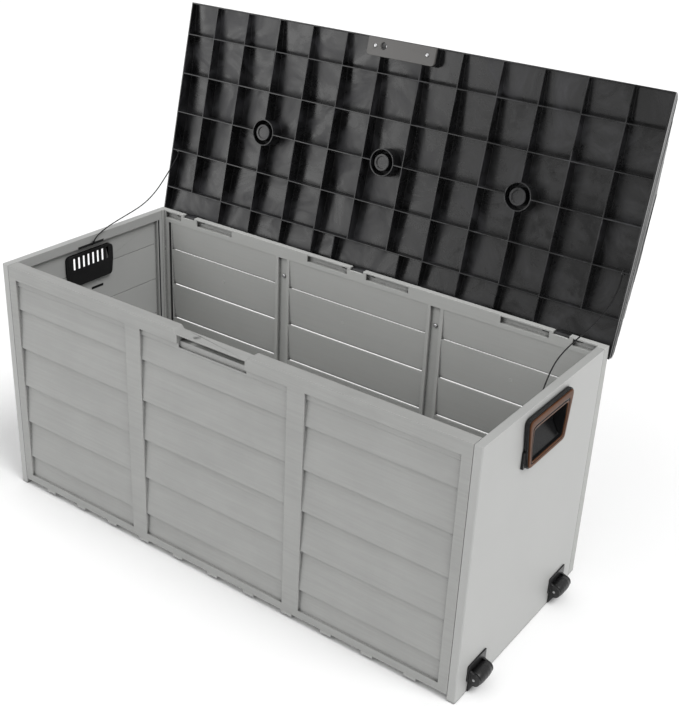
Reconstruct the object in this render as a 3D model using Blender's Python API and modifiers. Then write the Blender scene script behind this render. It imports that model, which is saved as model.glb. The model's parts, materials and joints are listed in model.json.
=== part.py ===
"""Deck storage box: clapboard panels clipped to two end panels, a ribbed lid on three pinned hinges,
two handles, two rollers at the right end and two lid-stay cords.

Metres, +Z up. The origin is the centre of the footprint on the ground, +X runs along the length towards
the wheeled end, -Y is the front and +Y the hinge side. The lid is modelled closed and swung open.
"""
import math

import bmesh
import bpy
from mathutils import Matrix, Vector

for leftover in list(bpy.data.objects):
    bpy.data.objects.remove(leftover, do_unlink=True)

# Body
BODY_LENGTH = 1.100
BODY_DEPTH = 0.460
BODY_HEIGHT = 0.512
FIT_GAP = 0.0005          # between pieces that touch on the real box
SEAT_GAP = 0.0003         # between pieces that are screwed or clipped face to face
OVERCUT = 0.010           # how far a cut runs past the face that it opens
PANEL_THICKNESS = 0.012   # front and back panels, over their stiles
SKIN = 0.003              # moulded wall of the planks
END_RIM_THICKNESS = 0.016
END_FIELD_THICKNESS = 0.008
END_FRONT_ROUND = 0.003

# Clapboard bays of the front and back panels
PANEL_BOTTOM = 0.012      # the front and back panels stop this far above the ground
TOP_RAIL = 0.027
BOTTOM_RAIL = 0.016
END_STILE = 0.020
MID_STILE = 0.038
CENTRE_BAY = 0.345
FIRST_PLANK = 0.064
PLANK_PITCH = 0.0863
PLANK_TOP_DEPTH = 0.0080  # how far a plank's top edge lies behind the stiles
PLANK_BOTTOM_DEPTH = 0.0025
STILE_GROOVE_DEPTH = 0.008
MID_GROOVE = 0.022
END_GROOVE = 0.0070
END_GROOVE_DEPTH = 0.0095
END_GROOVE_OUT = 0.0015   # from the outer bays

# Front rail, its notch and finger pull
FRONT_RAIL_THICKNESS = 0.026
FRONT_RAIL_HEIGHT = 0.040
FRONT_RAIL_FACE = 0.005   # the rail's own block starts this far behind the panel's face
RAIL_SOLID_SIDE = 0.006   # solid rail left beside the notch
NOTCH_HALF_WIDTH = 0.0835
NOTCH_DEPTH = 0.007
NOTCH_SLOPE = 0.9         # run of its sloped ends, per unit of depth
BAR_THICKNESS = 0.003
PULL_HALF_WIDTH = 0.0795
PULL_HEIGHT = 0.026
PULL_DEPTH = 0.020
PULL_LIP_HEIGHT = 0.012
PULL_LIP_DEPTH = 0.009
PADLOCK_X = -0.041
PADLOCK_RADIUS = 0.007

# Inside of the end panels
RIM_BAND = 0.0205
REAR_POST = 0.015
FIELD_BOTTOM = 0.030
END_LINE_FIRST = 0.057
END_LINE_LOWEST = 0.050
END_LINE_INSET = 0.003
END_LINE_WIDTH = 0.0012
END_LINE_DEPTH = 0.0012
CHANNEL_INSET = 0.0105    # corner channel in each rear post, from the end panel's rear edge
CHANNEL_WIDTH = 0.0040
CHANNEL_DEPTH = 0.0060
WINDOW_DEPTH = 0.0110
WINDOW_INSET = 0.0004     # each window is narrower than the channel by this, each side
WINDOW_HEIGHT = 0.022
WINDOW_DROPS = (0.045, 0.120, 0.215, 0.330)

# Floor
FLOOR_THICKNESS = 0.004
FLOOR_RIB = 0.004
FLOOR_CLIP_COUNT = 11
FLOOR_CLIP_END = 0.0925   # the last clips' middles, from the ends of the body
FLOOR_CLIP_WIDTH = 0.025
FLOOR_CLIP_HEIGHT = 0.006
FLOOR_CLIP_LAP = 0.001    # the floor's walls reach this far down over the clips
SKID_HALF_WIDTH = 0.030
SKID_INSET = 0.0015
FLOOR_CELLS = 6

# Hinge: the axis runs along X at the top of the back panel
HINGE_Y_INSET = 0.0015    # from the back panel's outer face
HINGE_DROP = 0.0068       # below the rim
HINGE_END_INSET = 0.090   # the outer hinges, from the ends of the body
HINGE_NOTCH_HALF = 0.0165
HINGE_NOTCH_DEPTH = 0.006
HINGE_SEAT_FRONT = 0.001  # room round the lid's barrel, in front and below
HINGE_SEAT_DROP = 0.0025
HINGE_LUG_HALF = 0.0155
HINGE_BARREL_RADIUS = 0.0055
HINGE_PIN_RADIUS = 0.0025
HINGE_PIN_HALF_LENGTH = 0.034
HINGE_BOSS_REACH = 0.044
PIN_CLEARANCE = 0.0003
POCKET_START = 0.024
POCKET_LENGTH = 0.102
POCKET_DEPTH = 0.0085
POCKET_TOP_WALL = 0.0035
POCKET_HEIGHT = 0.0135
POCKET_END_WALL = 0.004
POCKET_BOSS_WALL = 0.0025

# Lid
LID_OPEN_ANGLE = 103.3
LID_OVERHANG_END = 0.0033
LID_OVERHANG_FRONT = 0.0035
LID_OVERHANG_BACK = 0.0183
LID_RIM_GAP = 0.0005
LID_BACK_HEIGHT = 0.016
LID_CROWN_HEIGHT = 0.033
LID_FRONT_HEIGHT = 0.0135
LID_SKIN = 0.0025
LID_SKIRT = 0.0028
LID_RIB = 0.0024
LID_EDGE_ROUND = 0.005
LID_LUG_SHARE = 0.85      # thickness of a hinge lug as a share of its barrel's
LID_CENTRE_COLUMN = 0.097
LID_END_COLUMN = 0.0753
LID_COLUMNS_EACH_SIDE = 5
LID_HINGE_ROW = 0.0745
LID_FRONT_ROW = 0.0677
LID_INNER_ROWS = 4
HINGE_BAY_HALF = 0.080    # the ribs beside the centre hinge stand this far out
BOSS_RING_RADIUS = 0.028
BOSS_RING_WALL = 0.0025
BOSS_DISC_RADIUS = 0.017
BOSS_DISH_RADIUS = 0.012
BOSS_DISH_DEPTH = 0.002

# Lock plate
LOCK_HALF_WIDTH = 0.0785
LOCK_LENGTH = 0.0355
LOCK_THICKNESS = 0.0055
LOCK_CORNER = 0.007
LOCK_SETBACK = 0.0012
LOCK_SCREW_RADIUS = 0.0035
LOCK_SCREW_SHANK = 0.0015
LOCK_SCREW_LENGTH = 0.009
LOCK_SCREW_HEAD = 0.0013
LOCK_SCREW_SINK = 0.0015
LOCK_LIFT = 0.0003        # the plate's upper face against the lid's lock pad
LOCK_SCREW_X = 0.060
PADLOCK_FROM_FRONT = 0.0158

# Handles
HANDLE_TOP = 0.0140       # top of the bezel below the rim
HANDLE_HEIGHT = 0.0975
HANDLE_TOP_MARGIN = 0.0205    # the bezel is wider than the cup by this at its top corners
HANDLE_BOTTOM_MARGIN = 0.0060
HANDLE_CORNER = 0.009
HANDLE_BEZEL = 0.0080     # black flange
HANDLE_TRIM = 0.0025      # bronze face on it, set in from the flange's edge
HANDLE_TRIM_INSET = 0.0020
HANDLE_EAR = 0.0090
HANDLE_EAR_HEIGHT = 0.036
HANDLE_EAR_SHARE = 0.6    # the ears' thickness as a share of the flange's
HANDLE_EAR_LIFT = 0.0036
CUP_HALF = 0.0620
CUP_TOP_DROP = 0.0215     # top of the cup's hollow below the bezel's top edge
CUP_HEIGHT = 0.0650
CUP_TAPER = 0.0050        # how much narrower each side of the cup is at its foot
CUP_CORNER = 0.0060
SCOOP_RISE = 0.0300       # the cup's lower half slopes out from its back wall, this far up
SCOOP_REACH = 0.0180
CUP_WALL = 0.0022
CUP_REACH = 0.0170        # from the panel's outer face to the cup's inner face
SLOT_COUNT = 8
SLOT_PITCH = 0.0134
SLOT_WIDTH = 0.0055
SLOT_HEIGHT = 0.026
SLOT_TOP_DROP = 0.0025
CLIP_HALF = 0.0165        # black clip under each cup, in a blind slot of the end panel
CLIP_HEIGHT = 0.0042
CLIP_DEPTH = 0.0045
CLIP_PROUD = 0.0010
CLIP_DROP = 0.1250
CLIP_OFFSET = 0.0220      # towards the hinge side from the handle's middle

# Rollers
WHEEL_INSET = 0.0655      # from the end panel's front and back edges
WHEEL_RADIUS = 0.0145
WHEEL_WIDTH = 0.040
WHEEL_CROWN = 0.0010
WHEEL_AXIS_OUT = 0.0105   # from the end panel's outer face
WHEEL_AXIS_HEIGHT = 0.030
WHEEL_CLEARANCE = 0.0008
AXLE_RADIUS = 0.0025
CHEEK_THICKNESS = 0.0040
CHEEK_RADIUS = 0.0125
BRACKET_PLATE = 0.0025
BRACKET_HALF_WIDTH = 0.031
BRACKET_HEIGHT = 0.060
BRACKET_FOOT_HEIGHT = 0.027
BRACKET_FOOT_BASE = 0.0015
WHEEL_SIDE_ROUND = 0.0025
WHEEL_SIDE_GAP = 0.0005

# Stile screws and lid stays
STILE_SCREW_RADIUS = 0.0040
STILE_SCREW_HEAD = 0.0020
STILE_SCREW_SHANK = 0.0018
STILE_SCREW_LENGTH = 0.0040
STILE_SCREW_DROP = 0.070
TOGGLE_DROP = 0.0195
TOGGLE_OFFSET = 0.0030    # towards the hinge side from the end panel's middle
TOGGLE_HALF_LENGTH = 0.0355
TOGGLE_SIZE = 0.0050
TOGGLE_CLEARANCE = 0.0010
CORD_DIAMETER = 0.0025
PLUG_X_INSET = 0.013      # from the end of the body
PLUG_HEAD_RADIUS = 0.0045
PLUG_HEAD = 0.0025
PLUG_SHANK_RADIUS = 0.0025
PLUG_DEPTH = 0.0055       # above the lid's rim plane

CORD_GAP = 0.0010         # between a cord's end and the piece that it is knotted to
LEFT_CORD_OFFSET = 0.0025 # where each cord leaves its toggle, from the end panel's middle
RIGHT_CORD_OFFSET = 0.0205
# Each cord's route from its toggle to its plug, against the straight line between them: how far it stands
# in towards the box's middle, its share of the way along Y, and how far it rises above the line.
LEFT_CORD = [
    (0.0000, 0.000, 0.0000), (0.0024, 0.000, 0.0000), (0.0044, 0.002, 0.0017), (0.0051, 0.012, 0.0058),
    (0.0051, 0.032, 0.0092), (0.0049, 0.071, 0.0099), (0.0043, 0.129, 0.0074), (0.0037, 0.200, 0.0021),
    (0.0031, 0.286, -0.0055), (0.0027, 0.372, -0.0136), (0.0022, 0.457, -0.0216), (0.0018, 0.539, -0.0284),
    (0.0013, 0.615, -0.0322), (0.0007, 0.686, -0.0330), (0.0004, 0.754, -0.0306), (0.0001, 0.822, -0.0251),
    (-0.0002, 0.886, -0.0187), (-0.0002, 0.940, -0.0122), (-0.0001, 0.979, -0.0067), (0.0000, 1.000, 0.0000),
]
RIGHT_CORD = [
    (0.0000, 0.000, 0.0000), (0.0024, 0.000, 0.0000), (0.0044, 0.001, 0.0018), (0.0051, 0.008, 0.0073),
    (0.0049, 0.025, 0.0145), (0.0044, 0.048, 0.0218), (0.0038, 0.078, 0.0290), (0.0032, 0.120, 0.0336),
    (0.0027, 0.181, 0.0332), (0.0024, 0.263, 0.0271), (0.0020, 0.359, 0.0172), (0.0017, 0.458, 0.0057),
    (0.0014, 0.557, -0.0057), (0.0011, 0.653, -0.0159), (0.0008, 0.745, -0.0241), (0.0005, 0.829, -0.0291),
    (0.0003, 0.893, -0.0282), (0.0001, 0.941, -0.0229), (-0.0001, 0.981, -0.0146), (0.0000, 1.000, 0.0000),
]

# Derived planes
END_X = BODY_LENGTH / 2
FRONT_Y = -BODY_DEPTH / 2
BACK_Y = BODY_DEPTH / 2
END_INNER_X = END_X - END_RIM_THICKNESS
END_FIELD_X = END_X - END_FIELD_THICKNESS
BACK_INNER_Y = BACK_Y - PANEL_THICKNESS
BACK_POST_DEPTH = 0.0205
END_BACK_Y = BACK_Y - BACK_POST_DEPTH - FIT_GAP
END_CENTRE_Y = (FRONT_Y + END_BACK_Y) / 2
TOGGLE_Y = END_CENTRE_Y + TOGGLE_OFFSET
PANEL_HALF = END_INNER_X - FIT_GAP
BAY_TOP = BODY_HEIGHT - TOP_RAIL
BAY_BOTTOM = PANEL_BOTTOM + BOTTOM_RAIL
CENTRE_HALF = CENTRE_BAY / 2
HANDLE_TOP_HALF = CUP_HALF + HANDLE_TOP_MARGIN
HANDLE_BOTTOM_HALF = CUP_HALF + HANDLE_BOTTOM_MARGIN
SIDE_BAY_INNER = CENTRE_HALF + MID_STILE
SIDE_BAY_OUTER = PANEL_HALF - END_STILE
STILE_X = CENTRE_HALF + MID_STILE / 2
HINGE_Y = BACK_Y - HINGE_Y_INSET
HINGE_Z = BODY_HEIGHT - HINGE_DROP
HINGE_XS = [-(END_X - HINGE_END_INSET), 0.0, END_X - HINGE_END_INSET]
LID_HALF = END_X + LID_OVERHANG_END
LID_FRONT_Y = FRONT_Y - LID_OVERHANG_FRONT
LID_BACK_Y = BACK_Y + LID_OVERHANG_BACK
LID_DEPTH = LID_BACK_Y - LID_FRONT_Y
LID_RIM_Z = BODY_HEIGHT + LID_RIM_GAP
BAR_TOP = BODY_HEIGHT - NOTCH_DEPTH
PULL_TOP = BAR_TOP - BAR_THICKNESS
BORE = PIN_CLEARANCE

# Colours
PANEL_GREY = (0.36, 0.37, 0.36)
END_GREY = (0.42, 0.42, 0.42)
LID_BLACK = (0.020, 0.020, 0.022)
PLATE_GREY = (0.055, 0.053, 0.055)
HANDLE_BLACK = (0.012, 0.012, 0.013)
BRONZE = (0.095, 0.045, 0.025)
WHEEL_BLACK = (0.015, 0.015, 0.016)
STEEL = (0.55, 0.55, 0.56)

parts = bpy.data.collections.new("deck_storage_box")
cutters = bpy.data.collections.new("cutters")
for collection in (parts, cutters):
    bpy.context.scene.collection.children.link(collection)


# ---------------------------------------------------------------- helpers
def material(name, colour, roughness, metallic=0.0):
    made = bpy.data.materials.new(name)
    made.use_nodes = True
    shader = made.node_tree.nodes["Principled BSDF"]
    shader.inputs["Base Color"].default_value = (*colour, 1.0)
    shader.inputs["Roughness"].default_value = roughness
    shader.inputs["Metallic"].default_value = metallic
    return made


def mesh_object(name, shape, collection):
    """Turns a bmesh into a named object whose faces look outwards."""
    bmesh.ops.recalc_face_normals(shape, faces=shape.faces)
    if shape.calc_volume(signed=True) < 0:
        bmesh.ops.reverse_faces(shape, faces=shape.faces)
    mesh = bpy.data.meshes.new(name)
    shape.to_mesh(mesh)
    shape.free()
    made = bpy.data.objects.new(name, mesh)
    collection.objects.link(made)
    if collection is cutters:
        made.hide_render = True
        made.display_type = "WIRE"
    return made


def add_box(shape, low, high):
    low, high = Vector(low), Vector(high)
    matrix = Matrix.Translation((low + high) / 2) @ Matrix.Diagonal((*(high - low), 1.0))
    return bmesh.ops.create_cube(shape, size=1.0, matrix=matrix)["verts"]


def add_cylinder(shape, centre, axis, radius, length, segments=32, radius_end=None):
    turn = Vector((0, 0, 1)).rotation_difference(Vector(axis)).to_matrix().to_4x4()
    bmesh.ops.create_cone(
        shape, cap_ends=True, segments=segments, radius1=radius,
        radius2=radius if radius_end is None else radius_end,
        depth=length, matrix=Matrix.Translation(centre) @ turn)


def boxes(name, corners, collection):
    shape = bmesh.new()
    for low, high in corners:
        add_box(shape, low, high)
    return mesh_object(name, shape, collection)


def cylinders(name, rods, collection, segments=32):
    """rods: (centre, axis, radius, length) of each."""
    shape = bmesh.new()
    for centre, axis, radius, length in rods:
        add_cylinder(shape, centre, axis, radius, length, segments)
    return mesh_object(name, shape, collection)


def outline_solid(name, outline, thickness, matrix, collection):
    """A flat outline (2D points) thickened about its own plane, as a mesh."""
    curve = bpy.data.curves.new(name, "CURVE")
    curve.dimensions = "2D"
    curve.fill_mode = "BOTH"
    curve.extrude = thickness / 2
    spline = curve.splines.new("POLY")
    spline.points.add(len(outline) - 1)
    for point, (u, v) in zip(spline.points, outline):
        point.co = (u, v, 0.0, 1.0)
    spline.use_cyclic_u = True
    return curve_to_mesh(name, curve, matrix, collection)


def curve_to_mesh(name, curve, matrix, collection):
    drawn = bpy.data.objects.new(name + "_outline", curve)
    bpy.context.scene.collection.objects.link(drawn)
    drawn.matrix_world = matrix
    bpy.context.view_layer.update()
    evaluated = drawn.evaluated_get(bpy.context.evaluated_depsgraph_get())
    mesh = bpy.data.meshes.new_from_object(evaluated)
    shape = bmesh.new()
    shape.from_mesh(mesh)
    bmesh.ops.remove_doubles(shape, verts=shape.verts, dist=0.00002)
    shape.transform(matrix)
    bpy.data.objects.remove(drawn, do_unlink=True)
    return mesh_object(name, shape, collection)


def rounded_outline(corners, radius, steps=4):
    """A polygon (counter-clockwise) with each corner rounded to the same radius."""
    outline = []
    count = len(corners)
    for index in range(count):
        corner = Vector(corners[index])
        back = (Vector(corners[index - 1]) - corner).normalized()
        ahead = (Vector(corners[(index + 1) % count]) - corner).normalized()
        half = back.angle(ahead) / 2
        centre = corner + (back + ahead).normalized() * (radius / math.sin(half))
        start = corner + back * (radius / math.tan(half)) - centre
        sweep = math.pi - 2 * half
        for step in range(steps + 1):
            turn = Matrix.Rotation(sweep * step / steps, 2)
            outline.append(tuple(centre + turn @ start))
    return outline


def boolean(target, other, operation):
    change = target.modifiers.new(operation.lower(), "BOOLEAN")
    change.operation = operation
    change.solver = "EXACT"
    change.object = other


def cut(target, other):
    boolean(target, other, "DIFFERENCE")


def join(target, other):
    boolean(target, other, "UNION")


def finish(piece, finish_material, parent=None, smooth=False):
    piece.data.materials.append(finish_material)
    if smooth:
        piece.data.shade_smooth()
        piece.data.set_sharp_from_angle(angle=math.radians(35))
    if parent is not None:
        piece.parent = parent
        for change in piece.modifiers:
            if change.type == "BOOLEAN":
                change.object.parent = parent


# Maps an outline's plane onto (y, z), thickened along x, and onto (x, z), thickened along y.
YZ_PLANE = Matrix(((0, 0, 1, 0), (1, 0, 0, 0), (0, 1, 0, 0), (0, 0, 0, 1)))
XZ_PLANE = Matrix(((1, 0, 0, 0), (0, 0, -1, 0), (0, 1, 0, 0), (0, 0, 0, 1)))


def plank_lines(bay_top, bay_bottom, first, pitch):
    """Heights of the laps, from the top down."""
    lines = []
    height = bay_top - first
    while height > bay_bottom + first / 3:
        lines.append(height)
        height -= pitch
    return lines


def clapboard_outline(outward, face, depth_at_top, depth_at_lap, reach):
    """The (y, z) outline cut away over a bay: each plank leans out towards its lower edge."""
    edges = [BAY_TOP] + plank_lines(BAY_TOP, BAY_BOTTOM, FIRST_PLANK, PLANK_PITCH) + [BAY_BOTTOM]
    outline = [(face + outward * reach, BAY_TOP)]
    for upper, lower in zip(edges, edges[1:]):
        lean = (depth_at_lap - depth_at_top) * (upper - lower) / PLANK_PITCH
        outline.append((face - outward * depth_at_top, upper))
        outline.append((face - outward * (depth_at_top + lean), lower))
    outline.append((face + outward * reach, BAY_BOTTOM))
    return outline


def cut_bays(panel, name, outward, outer_face, inner_face):
    """Cuts the three clapboard bays from both sides, leaving an even skin."""
    inner_top = PANEL_THICKNESS - SKIN - PLANK_TOP_DEPTH
    inner_lap = PANEL_THICKNESS - SKIN - PLANK_BOTTOM_DEPTH
    outer = clapboard_outline(outward, outer_face, PLANK_TOP_DEPTH, PLANK_BOTTOM_DEPTH, OVERCUT)
    inner = clapboard_outline(-outward, inner_face, inner_top, inner_lap, OVERCUT)
    spans = [(-SIDE_BAY_OUTER, -SIDE_BAY_INNER), (-CENTRE_HALF, CENTRE_HALF),
             (SIDE_BAY_INNER, SIDE_BAY_OUTER)]
    for number, (start, end) in enumerate(spans, 1):
        place = Matrix.Translation(((start + end) / 2, 0, 0)) @ YZ_PLANE
        for side, outline in (("outer", outer), ("inner", inner)):
            title = "%s_%s_bay_%d" % (name, side, number)
            cut(panel, outline_solid(title, outline, end - start, place, cutters))


def cut_stile_grooves(panel, name, outward, inner_face):
    """The stiles are open channels on the inside."""
    grooves = []
    end_x = SIDE_BAY_OUTER + END_GROOVE / 2 + END_GROOVE_OUT
    for centre, width, depth in ((-end_x, END_GROOVE, END_GROOVE_DEPTH),
                                 (-STILE_X, MID_GROOVE, STILE_GROOVE_DEPTH),
                                 (STILE_X, MID_GROOVE, STILE_GROOVE_DEPTH),
                                 (end_x, END_GROOVE, END_GROOVE_DEPTH)):
        near, far = sorted((inner_face - outward * OVERCUT, inner_face + outward * depth))
        grooves.append(((centre - width / 2, near, BAY_BOTTOM), (centre + width / 2, far, BAY_TOP)))
    cut(panel, boxes(name + "_stile_grooves", grooves, cutters))


# ---------------------------------------------------------------- materials
panel_plastic = material("panel_plastic", PANEL_GREY, 0.55)
end_plastic = material("end_plastic", END_GREY, 0.50)
lid_plastic = material("lid_plastic", LID_BLACK, 0.40)
plate_plastic = material("plate_plastic", PLATE_GREY, 0.50)
handle_plastic = material("handle_plastic", HANDLE_BLACK, 0.35)
bronze_plastic = material("bronze_plastic", BRONZE, 0.40)
wheel_plastic = material("wheel_plastic", WHEEL_BLACK, 0.55)
steel = material("steel", STEEL, 0.30, 1.0)
cord_fibre = material("cord_fibre", HANDLE_BLACK, 0.80)


# ---------------------------------------------------------------- front panel
def front_panel():
    inner = FRONT_Y + PANEL_THICKNESS
    panel = boxes("front_panel", [((-PANEL_HALF, FRONT_Y, PANEL_BOTTOM),
                                   (PANEL_HALF, inner, BODY_HEIGHT))], parts)
    rail_inner = FRONT_Y + FRONT_RAIL_THICKNESS
    rail = boxes("front_rail", [
        ((-PANEL_HALF, FRONT_Y + FRONT_RAIL_FACE, BODY_HEIGHT - FRONT_RAIL_HEIGHT),
         (PANEL_HALF, rail_inner, BODY_HEIGHT))], cutters)
    cut_bays(panel, "front", -1, FRONT_Y, inner)
    cut_stile_grooves(panel, "front", -1, inner)
    join(panel, rail)
    # Hollow of the rail, open below, each side of the pull.
    hollow_side = NOTCH_HALF_WIDTH + RAIL_SOLID_SIDE
    rail_hollow = [
        ((start, inner + FIT_GAP, BODY_HEIGHT - FRONT_RAIL_HEIGHT - OVERCUT),
         (end, rail_inner - SKIN, BODY_HEIGHT - SKIN))
        for start, end in ((-PANEL_HALF + SKIN, -hollow_side), (hollow_side, PANEL_HALF - SKIN))]
    cut(panel, boxes("front_rail_hollow", rail_hollow, cutters))
    # Notch that the lock plate drops into: its ends slope down to the bar.
    mouth = NOTCH_HALF_WIDTH + NOTCH_DEPTH * NOTCH_SLOPE
    notch = [(-mouth, BODY_HEIGHT + FIT_GAP), (-NOTCH_HALF_WIDTH, BAR_TOP), (NOTCH_HALF_WIDTH, BAR_TOP),
             (mouth, BODY_HEIGHT + FIT_GAP)]
    place = Matrix.Translation((0, FRONT_Y + FRONT_RAIL_THICKNESS / 2, 0)) @ XZ_PLANE
    cut(panel, outline_solid("lock_notch", notch, FRONT_RAIL_THICKNESS + 2 * OVERCUT, place,
                              cutters))
    pull_floor = PULL_TOP - PULL_HEIGHT
    cut(panel, boxes("finger_pull", [
        ((-PULL_HALF_WIDTH, FRONT_Y - OVERCUT, pull_floor + PULL_LIP_HEIGHT),
         (PULL_HALF_WIDTH, FRONT_Y + PULL_DEPTH, PULL_TOP))], cutters))
    cut(panel, boxes("finger_pull_lip", [
        ((-PULL_HALF_WIDTH, FRONT_Y - OVERCUT, pull_floor),
         (PULL_HALF_WIDTH, FRONT_Y + PULL_LIP_DEPTH, pull_floor + PULL_LIP_HEIGHT + FIT_GAP))], cutters))
    lock_y = LID_FRONT_Y + PADLOCK_FROM_FRONT
    cut(panel, cylinders("padlock_hole", [((PADLOCK_X, lock_y, BAR_TOP), (0, 0, 1), PADLOCK_RADIUS,
                                           3 * BAR_THICKNESS)], cutters, 24))
    finish(panel, panel_plastic)


# ---------------------------------------------------------------- back panel
def back_panel():
    panel = boxes("back_panel", [((-END_X, BACK_INNER_Y, PANEL_BOTTOM), (END_X, BACK_Y, BODY_HEIGHT))],
                  parts)
    post_front = BACK_Y - BACK_POST_DEPTH
    posts = []
    for side in (-1, 1):
        low, high = sorted((side * END_INNER_X, side * END_X))
        posts.append(((low, post_front, PANEL_BOTTOM), (high, BACK_INNER_Y + FIT_GAP, BODY_HEIGHT)))
    cut_bays(panel, "back", 1, BACK_Y, BACK_INNER_Y)
    cut_stile_grooves(panel, "back", 1, BACK_INNER_Y)
    join(panel, boxes("back_posts", posts, cutters))
    for number, hinge_x in enumerate(HINGE_XS, 1):
        join(panel, cylinders("hinge_boss_%d" % number, [
            ((hinge_x, HINGE_Y, HINGE_Z), (1, 0, 0), HINGE_BARREL_RADIUS, 2 * HINGE_BOSS_REACH)],
            cutters, 24))
    pockets, notches, bores = [], [], []
    pocket_top = BODY_HEIGHT - POCKET_TOP_WALL
    boss_top = HINGE_Z + HINGE_PIN_RADIUS + BORE
    boss_low = HINGE_Z - HINGE_PIN_RADIUS - BORE
    boss_back = HINGE_Y + HINGE_PIN_RADIUS + BORE
    for hinge_x in HINGE_XS:
        for side in (-1, 1):
            near = hinge_x + side * POCKET_START
            far = hinge_x + side * (POCKET_START + POCKET_LENGTH)
            limit = PANEL_HALF - POCKET_END_WALL
            far = max(-limit, min(limit, far))
            low, high = sorted((near, far))
            pockets.append(((low, BACK_INNER_Y - OVERCUT, pocket_top - POCKET_HEIGHT),
                            (high, BACK_INNER_Y + POCKET_DEPTH, pocket_top)))
            low, high = sorted((near, near + side * (HINGE_BOSS_REACH - POCKET_START - POCKET_BOSS_WALL)))
            pockets.append(((low, BACK_INNER_Y + FIT_GAP, boss_low), (high, boss_back, boss_top)))
        half = HINGE_NOTCH_HALF
        notches.append(((hinge_x - half, BACK_INNER_Y - OVERCUT, BODY_HEIGHT - HINGE_NOTCH_DEPTH),
                        (hinge_x + half, BACK_Y + OVERCUT, BODY_HEIGHT + OVERCUT)))
        notches.append(((hinge_x - half, HINGE_Y - HINGE_BARREL_RADIUS - HINGE_SEAT_FRONT,
                         HINGE_Z - HINGE_BARREL_RADIUS - HINGE_SEAT_DROP),
                        (hinge_x + half, BACK_Y + OVERCUT, BODY_HEIGHT + OVERCUT)))
        bores.append(((hinge_x, HINGE_Y, HINGE_Z), (1, 0, 0), HINGE_PIN_RADIUS + BORE,
                      2 * (POCKET_START + FIT_GAP)))
    for title, group in (("hinge_pockets", pockets[0::2]), ("hinge_pocket_backs", pockets[1::2]),
                         ("hinge_notches", notches[0::2]), ("hinge_seats", notches[1::2])):
        cut(panel, boxes(title, group, cutters))
    cut(panel, cylinders("hinge_bores", bores, cutters, 20))
    screws = [((side * STILE_X, BACK_INNER_Y + STILE_GROOVE_DEPTH, BODY_HEIGHT - STILE_SCREW_DROP),
               (0, 1, 0), STILE_SCREW_SHANK + BORE, 3 * OVERCUT) for side in (-1, 1)]
    cut(panel, cylinders("stile_screw_holes", screws, cutters, 16))
    finish(panel, panel_plastic)


# ---------------------------------------------------------------- end panels
def handle_outline(inset=0.0):
    """The bezel's outline in (y, z), wider at the top."""
    top = BODY_HEIGHT - HANDLE_TOP - inset
    bottom = BODY_HEIGHT - HANDLE_TOP - HANDLE_HEIGHT + inset
    top_half = HANDLE_TOP_HALF - inset
    bottom_half = HANDLE_BOTTOM_HALF - inset
    corners = [(bottom_half, bottom), (top_half, top), (-top_half, top), (-bottom_half, bottom)]
    outline = rounded_outline(corners, HANDLE_CORNER)
    return [(END_CENTRE_Y + u, v) for u, v in outline]


def cup_outline(grow=0.0):
    """The cup's (y, z) outline, narrowing a little towards its foot."""
    top = BODY_HEIGHT - HANDLE_TOP - CUP_TOP_DROP + grow
    bottom = top - CUP_HEIGHT - 2 * grow
    middle = (top + bottom) / 2
    half = CUP_HALF + grow
    foot = half - CUP_TAPER
    corners = [(foot, bottom), (half, middle), (half, top), (-half, top), (-half, middle), (-foot, bottom)]
    return [(END_CENTRE_Y + u, v) for u, v in rounded_outline(corners, CUP_CORNER + grow, 3)]


def clip_box(side, clearance):
    """Low and high corners of the clip under a cup, with a clearance all round."""
    x_low, x_high = sorted((side * (END_FIELD_X - CLIP_PROUD), side * (END_FIELD_X + CLIP_DEPTH - FIT_GAP)))
    y = END_CENTRE_Y + CLIP_OFFSET
    z = BODY_HEIGHT - CLIP_DROP
    return [[x_low, y - CLIP_HALF - clearance, z - CLIP_HEIGHT / 2 - clearance],
            [x_high, y + CLIP_HALF + clearance, z + CLIP_HEIGHT / 2 + clearance]]


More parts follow.
